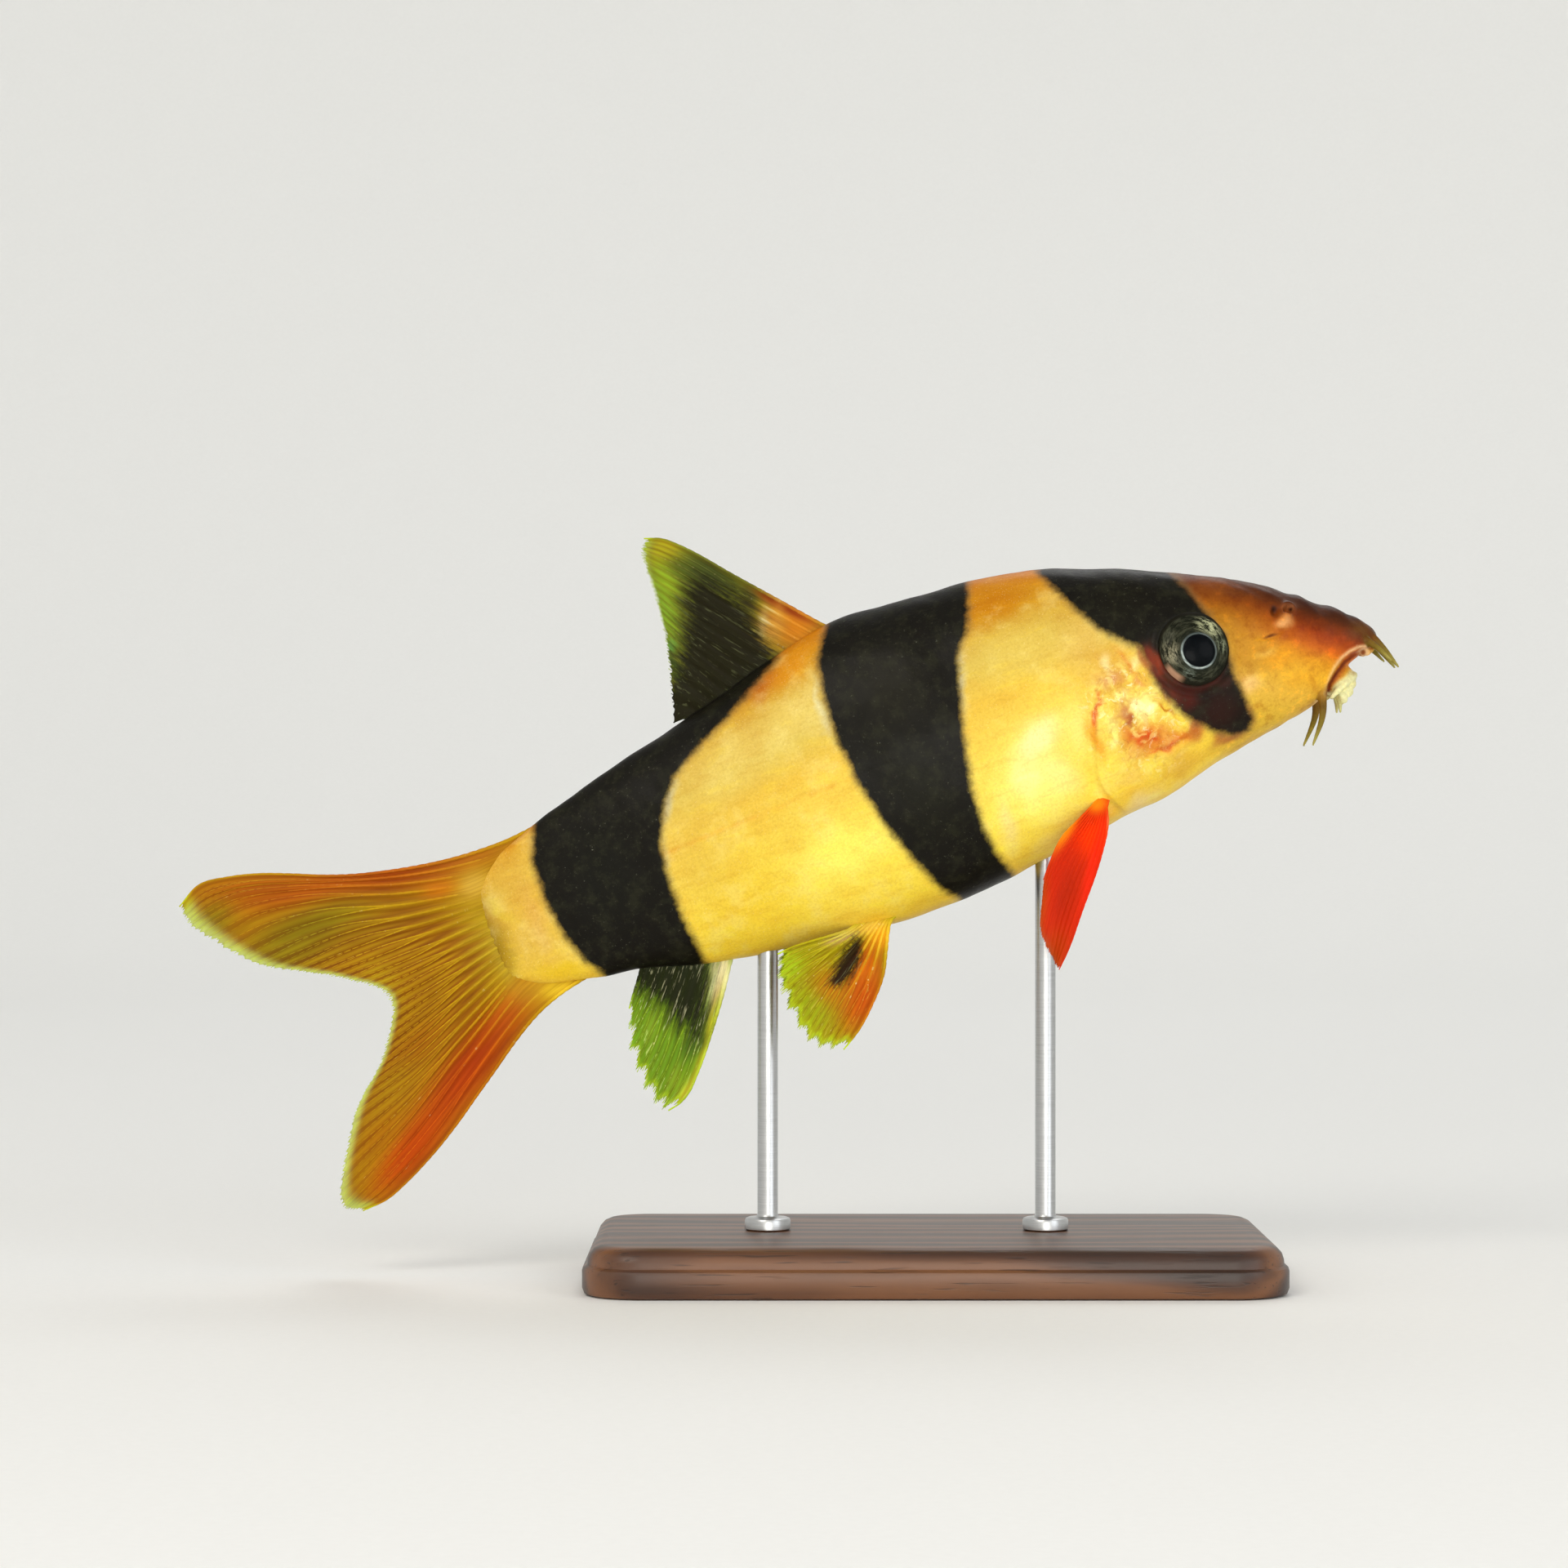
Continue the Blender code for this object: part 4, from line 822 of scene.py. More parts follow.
def paintSkin(mesh):
    points = pointsOf(mesh)
    y, flat = points[:, 1], seen(points)
    x, z = flat.T
    top, bottom = through(body["back"], x), through(body["belly"], x)
    trunk = asLine(trunkTones, (z - bottom) / (top - bottom))
    snoutShare = rise(38, 50, x)[:, None]
    head = asLine(browTones, top - z) * (1 - snoutShare) + asLine(snoutTones, top - z) * snoutShare
    headShare = rise(29, 37, x)[:, None]
    colour = trunk * (1 - headShare) + head * headShare
    wander = np.stack([wobble(points, 3.5, 21), wobble(points, 3.5, 22)], 1) * 0.25
    onSide = np.maximum(rise(0.0, 1.2, np.abs(y)), rise(-50, -55, x))
    gx, gz, gLong, gHigh = gillGlitter
    strayed = flat + np.stack([wobble(points, 6.0, 35), wobble(points, 5.0, 36)], 1) * 1.0
    glitter = ((strayed[:, 0] - gx) / gLong) ** 2 + ((strayed[:, 1] - gz) / gHigh) ** 2
    glitter = np.exp(-1.2 * glitter**1.5) * onSide
    crumple = np.stack([wobble(points, 1.3, 37), wobble(points, 1.3, 38)], 1) * 0.3
    wander += crumple * glitter[:, None]
    colour = colour * (1 - onSide[:, None]) + dabbed(colour, flat + wander, skinDabs) * onSide[:, None]
    # lateral line: a thin orange thread
    thread = np.exp(-((z - lateralLine(x)) / 0.3) ** 2) * rise(-56, -50, x) * rise(8, 2, x)
    thread *= np.clip(0.6 + 0.5 * wobble(points, 2.2, 31), 0, 1) * 0.42 * onSide
    colour = colour * (1 - thread[:, None]) + srgb("#DD9430") * thread[:, None]
    # lips, jaw lobes and barbels by their distance from the lines they were drawn on
    folded = np.stack([points[:, 0], np.abs(y), points[:, 2]], 1)
    lowerGap, _ = lineDistance(folded, mouth["lowerLip"])
    gapLine, gapShare = lineDistance(flat, face["gap"])
    rimLine, rimShare = lineDistance(flat, face["rim"])
    side = rise(0.8, 1.4, np.abs(y)) * (points[:, 0] > 46)
    underMouth = rise(-0.1, 0.5, through([(46, -10.9), (48, -10.0), (49.9, -7.9), (51.3, -7.0), (53.9, -6.7), (57, -6.7)],
                                         x) - z) * rise(47.2, 48.2, x)
    glow = asLine([(0, "#C2641A"), (0.5, "#D99A2E"), (1, "#E2C060")], rise(0, 1.6, gapLine))
    colour = colour * (1 - underMouth[:, None]) + glow * underMouth[:, None]
    jaw = np.maximum(rise(-9.6, -10.2, z) * rise(47.0, 48.4, x), 1 - rise(0.55, 1.1, lowerGap))
    jaw *= (points[:, 0] > 47)
    colour = colour * (1 - jaw[:, None]) + srgb("#E2DFA8") * jaw[:, None]
    pale = np.exp(-(np.hypot(x - 53.9, z + 6.95) / 0.85) ** 4) * 0.9
    pale = np.maximum(pale, np.exp(-(rimLine / 0.24) ** 2) * side * (0.35 + 0.65 * rimShare))
    colour = colour * (1 - pale[:, None]) + srgb("#EAC9A0") * pale[:, None]
    # painted shade: a dark line in the mouth's gap and a dark spot in its opening at the front
    dark = np.exp(-(gapLine / 0.27) ** 2) * side * rise(1.0, 0.72, gapShare)
    dark = np.maximum(dark, np.exp(-(np.hypot(x - 53.8, z + 6.9) / 0.33) ** 4) * 0.85 * side)
    colour = colour * (1 - dark[:, None]) + srgb("#6A2A0C") * dark[:, None]
    feeler = np.zeros(len(points))
    for kind, (path, radius) in barbels.items():
        gap, share = lineDistance(folded, evenPath(path, 12))
        mask = rise(0.02, 0.4, share) * (1 - rise(1.0, 1.5, gap / (radius * (1 - share) ** 0.9 + 0.2)))
        tone = asLine([(0, "#5E3412"), (0.3, "#6C4C18"), (0.65, "#7E6E26"), (1, "#A6A056")], share)
        if kind == "mandibular":
            tone = asLine([(0, "#DAD79A"), (0.5, "#CFCB8C"), (1, "#B9B678")], share)
        colour = colour * (1 - mask[:, None]) + tone * mask[:, None]
        feeler = np.maximum(feeler, mask)
    pigment = np.max([insideBy(flat, outline) for outline in bands.values()], axis=0)
    pigment = np.where((feeler > 0.4) | (points[:, 0] > 46), -9.0, pigment)
    bandTone = dabbed(np.tile(srgb(bandGround), (len(points), 1)), flat + wander, bandDabs)
    aroundEye = np.exp(-((np.hypot(x - eye["x"], z - eye["z"]) - 4.9) / 0.5) ** 2)
    aroundEye *= rise(-0.2, 0.7, (-(x - eye["x"]) * 0.6 - (z - eye["z"]) * 0.8) / 4.9) * onSide
    rimTone = asLine([(0, "#3E150D"), (1, "#84321C")], rise(-2.6, 0.2, z))
    bandTone = bandTone * (1 - 0.8 * aroundEye[:, None]) + rimTone * 0.8 * aroundEye[:, None]
    setAttribute(mesh, "ground", linear(colour))
    setAttribute(mesh, "levelMm", points)
    setAttribute(mesh, "pigment", pigment)
    setAttribute(mesh, "glitter", glitter)
    setAttribute(mesh, "bandTone", linear(bandTone))
    setAttribute(mesh, "headShare", headShare[:, 0])


def wetFishSkin():
    # wet skin with scales too small to see: dense colour under thin slime, fine grain, soft broken highlights
    material, tree, shader = finish("wetFishSkin", {
        "Roughness": 0.4, "IOR": 1.36, "Specular IOR Level": 0.16, "Coat Weight": 0.04, "Coat Roughness": 0.15,
        "Coat IOR": 1.33, "Subsurface Weight": 0.04, "Subsurface Scale": 0.001})
    shader.inputs["Subsurface Radius"].default_value = (1.0, 0.5, 0.25)
    place = (add(tree, "ShaderNodeAttribute", {"attribute_name": "levelMm"}), "Vector")
    ground, pigment, glitter, bandTone, headShare = [
        (add(tree, "ShaderNodeAttribute", {"attribute_name": name}), output) for name, output in
        (("ground", "Color"), ("pigment", "Fac"), ("glitter", "Fac"), ("bandTone", "Color"), ("headShare", "Fac"))]
    clouds = add(tree, "ShaderNodeTexNoise", None, {"Vector": place, "Scale": 0.22, "Detail": 5.0, "Roughness": 0.6})
    grain = add(tree, "ShaderNodeTexNoise", None, {"Vector": place, "Scale": 3.4, "Detail": 3.0, "Roughness": 0.65})
    glintSpecks = add(tree, "ShaderNodeTexNoise", None, {"Vector": place, "Scale": 5.5, "Detail": 2.0})
    # soft clouding and grain in the gold, and painted glints: fine pale specks off the head
    gold = mix(tree, between(tree, clouds, 0.46, 0.64, 0.0, 0.2), ground, (0.86, 0.66, 0.34, 1.0), "MULTIPLY")
    glow = reckon(tree, "MULTIPLY", between(tree, clouds, 0.5, 0.34, 0.0, 0.18), reckon(tree, "SUBTRACT", 1.0, headShare))
    gold = mix(tree, glow, gold, linear("#FFF29A"))
    gold = mix(tree, between(tree, grain, 0.42, 0.66, 0.0, 0.18), gold, (0.55, 0.36, 0.12, 1.0), "MULTIPLY")
    glow = reckon(tree, "MULTIPLY", between(tree, glintSpecks, 0.62, 0.74, 0.0, 0.2), reckon(tree, "SUBTRACT", 1.0, headShare))
    gold = mix(tree, glow, gold, linear("#FFF4B8"))
    # streaks along the side, and a mottled snout
    streaks = add(tree, "ShaderNodeTexNoise", None, {
        "Vector": add(tree, "ShaderNodeMapping", None, {"Vector": place, "Scale": (0.16, 0.8, 0.8)}),
        "Scale": 1.0, "Detail": 5.0, "Roughness": 0.65})
    gold = mix(tree, between(tree, streaks, 0.5, 0.68, 0.0, 0.3), gold, (0.84, 0.66, 0.4, 1.0), "MULTIPLY")
    gold = mix(tree, between(tree, streaks, 0.46, 0.32, 0.0, 0.22), gold, linear("#FFF3A6"), "SOFT_LIGHT")
    mottle = add(tree, "ShaderNodeTexNoise", None, {"Vector": place, "Scale": 0.55, "Detail": 6.0, "Roughness": 0.7})
    dim = reckon(tree, "MULTIPLY", between(tree, mottle, 0.5, 0.66, 0.0, 0.5), headShare)
    gold = mix(tree, dim, gold, (0.66, 0.45, 0.25, 1.0), "MULTIPLY")
    glow = reckon(tree, "MULTIPLY", between(tree, mottle, 0.48, 0.34, 0.0, 0.8), headShare)
    gold = mix(tree, glow, gold, (1.35, 1.28, 1.1, 1.0), "MULTIPLY")
    # the gill cover: painted bright glints, and rusty red in the hollows, partly its own red and partly painted shade
    # in the creases, crumpled at several sizes
    warp = add(tree, "ShaderNodeTexNoise", None, {"Vector": place, "Scale": 0.55, "Detail": 2.0})
    bent = add(tree, "ShaderNodeVectorMath", {"operation": "MULTIPLY_ADD"},
               {0: (warp, "Color"), 1: (3.0, 3.0, 3.0), 2: place})
    crumple = add(tree, "ShaderNodeTexNoise", None, {"Vector": bent, "Scale": 0.42, "Detail": 5.0, "Roughness": 0.65})
    crinkle = add(tree, "ShaderNodeTexNoise", None, {"Vector": bent, "Scale": 1.0, "Detail": 4.0, "Roughness": 0.65})
    wrinkles = add(tree, "ShaderNodeTexVoronoi", {"feature": "DISTANCE_TO_EDGE"}, {"Vector": bent, "Scale": 0.34})
    rustAndHollowShade = reckon(tree, "MULTIPLY", glitter, between(tree, crumple, 0.52, 0.38, 0.0, 0.35))
    gold = mix(tree, rustAndHollowShade, gold, linear("#D0742E"))
    glow = reckon(tree, "MULTIPLY", glitter, between(tree, crumple, 0.52, 0.62, 0.0, 0.45))
    gold = mix(tree, glow, gold, linear("#FFF08A"))
    rustAndHollowShade = reckon(tree, "MULTIPLY", glitter, between(tree, wrinkles, 0.09, 0.02, 0.0, 0.16))
    gold = mix(tree, rustAndHollowShade, gold, linear("#B45A20"))
    glow = reckon(tree, "MULTIPLY", glitter, between(tree, crinkle, 0.57, 0.67, 0.0, 0.5))
    gold = mix(tree, glow, gold, linear("#FFFBC8"))
    rustAndHollowShade = reckon(tree, "MULTIPLY", glitter, between(tree, crinkle, 0.40, 0.32, 0.0, 0.4))
    gold = mix(tree, rustAndHollowShade, gold, linear("#A04A18"))
    # black bands with a softly broken, dusky border and pale flecks
    ragged = add(tree, "ShaderNodeTexNoise", None, {"Vector": place, "Scale": 0.7, "Detail": 5.0, "Roughness": 0.75})
    edge = reckon(tree, "MULTIPLY_ADD", ragged, 1.3, reckon(tree, "SUBTRACT", pigment, 0.65))
    dusk = mix(tree, between(tree, edge, -1.0, 0.0, 0.0, 0.5), gold, linear("#7C6238"))
    flecks = add(tree, "ShaderNodeTexNoise", None, {"Vector": place, "Scale": 2.2, "Detail": 6.0, "Roughness": 0.85})
    black = mix(tree, between(tree, mottle, 0.45, 0.66, 0.0, 0.45), bandTone, linear("#2A2A1A"))
    black = mix(tree, between(tree, flecks, 0.58, 0.68, 0.0, 0.4), black, linear("#4E4E3C"))
    black = mix(tree, between(tree, flecks, 0.66, 0.71, 0.0, 0.7), black, linear("#B2B8A6"))
    colour = mix(tree, between(tree, edge, -0.5, 0.5), dusk, black)
    tree.links.new(colour[0].outputs[2], shader.inputs["Base Color"])
    # minute scales and soft flesh in the bump, crumpled more on the gill cover
    scales = add(tree, "ShaderNodeTexVoronoi", None, {"Vector": place, "Scale": 2.6})
    height = reckon(tree, "MULTIPLY_ADD", (scales, "Distance"), 0.4, reckon(tree, "MULTIPLY", grain, 0.8))
    height = reckon(tree, "MULTIPLY_ADD", reckon(tree, "MULTIPLY", glitter, crumple), 4.5, height)
    height = reckon(tree, "MULTIPLY_ADD", reckon(tree, "MULTIPLY", glitter, between(
        tree, wrinkles, 0.0, 0.14)), 0.7, height)
    bumps = add(tree, "ShaderNodeBump", None, {"Height": height, "Strength": 0.25, "Distance": 0.0001})
    tree.links.new(bumps.outputs[0], shader.inputs["Normal"])
    tree.links.new(bumps.outputs[0], shader.inputs["Coat Normal"])
    tree.links.new(between(tree, flecks, 0.3, 0.75, 0.34, 0.5).outputs[0], shader.inputs["Roughness"])
    return material


skin = remeshed(joinAs("skin", [bodyBlank(), *headPieces()]))
paintSkin(skin.data)
setPoints(skin.data, toWorld(pointsOf(skin.data)))
skin.data.materials.append(wetFishSkin())
skin.data.shade_smooth()
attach(skin, "root")
barbelNodes = [f"barbel_{kind}_{side}" for kind in ("rostral_inner", "rostral_outer", "maxillary", "mandibular")
               for side in ("left", "right")]
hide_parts("head", "torso", "tail", "lower_jaw", *barbelNodes)


print("eyes")


def wetEye():
    # a fish's eye: black lens, thin silver ring, olive metallic iris with broken pale arcs, under clear cornea
    material, tree, shader = finish("wetEye", {
        "Roughness": 0.35, "IOR": 1.34, "Specular IOR Level": 0.08, "Coat Weight": 0.08, "Coat Roughness": 0.04,
        "Coat IOR": 1.34})
    place = (add(tree, "ShaderNodeAttribute", {"attribute_name": "eyeMm"}), "Vector")
    parts = add(tree, "ShaderNodeSeparateXYZ", None, {"Vector": place})
    radius = (add(tree, "ShaderNodeAttribute", {"attribute_name": "pupilGap"}), "Fac")
    rim = (parts, "Z")
    arcs = add(tree, "ShaderNodeTexNoise", None, {
        "Vector": add(tree, "ShaderNodeCombineXYZ", None, {
            0: reckon(tree, "MULTIPLY", rim, 3.4), 1: reckon(tree, "MULTIPLY", (parts, "X"), 0.8),
            2: reckon(tree, "MULTIPLY", (parts, "Y"), 0.8)}), "Scale": 1.0, "Detail": 5.0, "Roughness": 0.7})
    grit = add(tree, "ShaderNodeTexNoise", None, {"Vector": place, "Scale": 3.0, "Detail": 4.0, "Roughness": 0.75})
    # bright sectors ahead and above (a painted soft highlight on the iris), behind, and a rosy crescent low behind
    colour = mix(tree, between(tree, arcs, 0.40, 0.62), linear("#191B12"), linear("#3E3F30"))
    for centre, reach, tone, strength in (((2.5, 1.9), 2.3, "#C4C69A", 1.0), ((-3.0, 0.3), 1.9, "#8C866C", 0.85),
                                          ((3.1, -0.6), 1.3, "#98A080", 0.85), ((-1.7, -2.6), 1.1, "#7E8A7C", 0.6)):
        gap = add(tree, "ShaderNodeVectorMath", {"operation": "DISTANCE"},
                  {0: add(tree, "ShaderNodeCombineXYZ", None, {0: (parts, "X"), 1: (parts, "Y")}), 1: (*centre, 0)})
        near = between(tree, (gap, "Value"), reach, 0.2 * reach, 0.0, strength)
        lit = reckon(tree, "MULTIPLY", near, between(tree, reckon(tree, "MULTIPLY", arcs, reckon(
            tree, "ADD", grit, 0.5)), 0.40, 0.60))
        colour = mix(tree, lit, colour, linear(tone))
    colour = mix(tree, between(tree, rim, 3.95, 4.35), colour, linear("#1D1B12"))
    rosy = add(tree, "ShaderNodeVectorMath", {"operation": "DISTANCE"},
               {0: add(tree, "ShaderNodeCombineXYZ", None, {0: (parts, "X"), 1: (parts, "Y")}), 1: (-3.55, -2.1, 0)})
    crescent = reckon(tree, "MULTIPLY", between(tree, rim, 3.6, 4.0, 0.0, 0.62), between(tree, (rosy, "Value"), 1.8, 0.5))
    colour = mix(tree, crescent, colour, linear("#D2A07E"))
    colour = mix(tree, between(tree, radius, 2.9, 2.4, 0.0, 0.7), colour, linear("#20231B"))
    lean = reckon(tree, "MULTIPLY_ADD", (parts, "Y"), 0.8, (parts, "X"))
    silver = mix(tree, between(tree, arcs, 0.35, 0.65), linear("#6E7A78"), linear("#BBC6C0"))
    silver = mix(tree, between(tree, lean, -2.0, 0.4, 0.0, 0.8), silver, linear("#3C4442"))
    colour = mix(tree, between(tree, radius, 2.32, 2.16), colour, silver)
    colour = mix(tree, between(tree, radius, 2.08, 1.97), colour, linear("#04070A"))
    tree.links.new(colour[0].outputs[2], shader.inputs["Base Color"])
    tree.links.new(between(tree, radius, 1.9, 2.6, 0.0, 0.35).outputs[0], shader.inputs["Metallic"])
    bumps = add(tree, "ShaderNodeBump", None, {"Height": arcs, "Strength": 0.2, "Distance": 0.0001})
    tree.links.new(bumps.outputs[0], shader.inputs["Normal"])
    return material


def eyeball(word, side, material, rings=70, sides=128):
    centre, forward, upward, out = sideFrame(eye["x"], eye["z"], side)
    centre = centre + out * (eye["proud"] - eye["halfDepth"])
    sunk = (eye["halfDepth"] - eye["proud"]) / eye["halfDepth"]
    across = eye["radius"] / math.sqrt(1 - sunk**2)
    polar = np.repeat(np.linspace(0.004, math.pi - 0.004, rings), sides)
    turn = np.tile(np.arange(sides) * 2 * math.pi / sides, rings)
    a, b, c = np.sin(polar) * np.cos(turn), np.sin(polar) * np.sin(turn), np.cos(polar)
    r = across * np.sin(polar)
    pupilGap = np.hypot(across * a - eye["pupilAhead"], across * b - eye["pupilUp"])
    lens = eye["lensRise"] * np.sqrt(np.clip(1 - (pupilGap / (eye["pupil"] + 0.1)) ** 2, 0, 1))
    lens -= 0.05 * np.exp(-((pupilGap - eye["pupil"] - 0.7) / 0.3) ** 2)
    depth = eye["halfDepth"] * c + np.where(c > 0, lens, 0)
    local = np.stack([across * a, across * b, depth], 1)
    axes = np.array([forward, upward, out])
    faces = []
    for i in range(rings - 1):
        for k in range(sides):
            p, q = i * sides + k, i * sides + (k + 1) % sides
            faces.append((p, q, q + sides, p + sides))
    faces += [tuple(range(sides)), tuple((rings - 1) * sides + k for k in reversed(range(sides)))]
    ball = outward(meshObject("eyeball" + word, local @ axes + np.array(centre), faces))
    setAttribute(ball.data, "eyeMm", np.stack([local[:, 0], local[:, 1], r], 1))
    setAttribute(ball.data, "pupilGap", pupilGap)
    setPoints(ball.data, toWorld(pointsOf(ball.data)))
    ball.data.materials.append(material)
    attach(ball, "root")
    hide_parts("eye_" + word.lower())


eyeFinish = wetEye()
for word, side in (("Left", 1), ("Right", -1)):
    eyeball(word, side, eyeFinish)


print("fins")


def rayTree():
    # Geometry Nodes: draws each line of a fin as a jointed, tapering ray and keeps the membrane beside it
    tree = bpy.data.node_groups.new("finRays", "GeometryNodeTree")
    face_ = tree.interface
    face_.new_socket("Geometry", in_out="INPUT", socket_type="NodeSocketGeometry")
    for name, kind, value in (("Thickness", "NodeSocketFloat", 1.0), ("Joint spacing", "NodeSocketFloat", 0.0006),
                              ("Joint depth", "NodeSocketFloat", 0.25), ("Sides", "NodeSocketInt", 8),
                              ("Finish", "NodeSocketMaterial", None)):
        socket = face_.new_socket(name, in_out="INPUT", socket_type=kind)
        if value is not None:
            socket.default_value = value
    face_.new_socket("Geometry", in_out="OUTPUT", socket_type="NodeSocketGeometry")
    given = add(tree, "NodeGroupInput")
    isRay = add(tree, "GeometryNodeInputNamedAttribute", {"data_type": "FLOAT"}, {"Name": "isRay"})
    parts = add(tree, "GeometryNodeSeparateGeometry", {"domain": "POINT"},
                {0: (given, 0), 1: reckon(tree, "GREATER_THAN", (isRay, 0), 0.5)})
    lines = add(tree, "GeometryNodeMeshToCurve", None, {0: (parts, 0)})
    radius = add(tree, "GeometryNodeInputNamedAttribute", {"data_type": "FLOAT"}, {"Name": "rayRadius"})
    length = add(tree, "GeometryNodeSplineParameter")
    joints = reckon(tree, "PINGPONG", (length, "Length"), reckon(tree, "DIVIDE", (given, "Joint spacing"), 2.0))
    swell = reckon(tree, "DIVIDE", joints, reckon(tree, "DIVIDE", (given, "Joint spacing"), 2.0))
    narrow = add(tree, "ShaderNodeMapRange", {"interpolation_type": "SMOOTHSTEP"},
                 {0: swell, 1: 0.0, 2: 0.5, 3: reckon(tree, "SUBTRACT", 1.0, (given, "Joint depth")), 4: 1.0})
    thick = reckon(tree, "MULTIPLY", reckon(tree, "MULTIPLY", (radius, 0), (given, "Thickness")), narrow)
    ring = add(tree, "GeometryNodeCurvePrimitiveCircle", {"mode": "RADIUS"},
               {"Resolution": (given, "Sides"), "Radius": 1.0})
    tubes = add(tree, "GeometryNodeCurveToMesh", None,
                {"Curve": lines, "Profile Curve": (ring, 0), "Scale": thick, "Fill Caps": True})
    smooth = add(tree, "GeometryNodeSetShadeSmooth", None, {0: tubes})
    joined = add(tree, "GeometryNodeJoinGeometry", None, {0: smooth})
    tree.links.new(parts.outputs[1], joined.inputs[0])
    real = add(tree, "GeometryNodeRealizeInstances", None, {0: joined})
    dressed = add(tree, "GeometryNodeSetMaterial", None, {0: real, "Material": (given, "Finish")})
    result = add(tree, "NodeGroupOutput")
    tree.links.new(dressed.outputs[0], result.inputs[0])
    return tree


def finSurface(keyRays, depth=1.5):
    # The place on a fin at u along its rays (0 root, 1 tip) and v across them (0 front, 1 rear)
    rays = [[(p[0], 0.0, p[1]) if len(p) == 2 else p for p in ray] for ray in keyRays]
    ways = [np.subtract(ray[1], ray[0]) for ray in rays]
    way = sum(w / np.linalg.norm(w) for w in ways)
    way /= np.linalg.norm(way)
    samples = 13
    paths = np.array([evenPath([np.array(ray[0]) - way * depth, *ray], samples) for ray in rays])
    order = np.linspace(0, 1, len(rays))
    shares = np.linspace(0, 1, samples)

    def place(u, v):
        columns = np.empty((samples, len(u), 3))
        for i in range(samples):
            for k in range(3):
                columns[i, :, k] = smoothBetween(order, paths[:, i, k], v)
        return smoothBetween(shares, columns, u)

    return place


def finNormals(place, u, v):
    step = 0.004
    along = place(np.minimum(u + step, 1), v) - place(np.maximum(u - step, 0), v)
    across = place(u, np.minimum(v + step, 1)) - place(u, np.maximum(v - step, 0))
    normals = np.cross(along, across)
    return normals / np.maximum(np.linalg.norm(normals, axis=1, keepdims=True), 1e-9)


def swungForward(keyRays, turn):
    # The same rays, turned about the front one's root as seen from the side
    rootX, _, rootZ = keyRays[0][0]
    c, s = math.cos(turn), math.sin(turn)
    return [[(rootX + (x - rootX) * c - (z - rootZ) * s, y, rootZ + (x - rootX) * s + (z - rootZ) * c)
             for x, y, z in ray] for ray in keyRays]


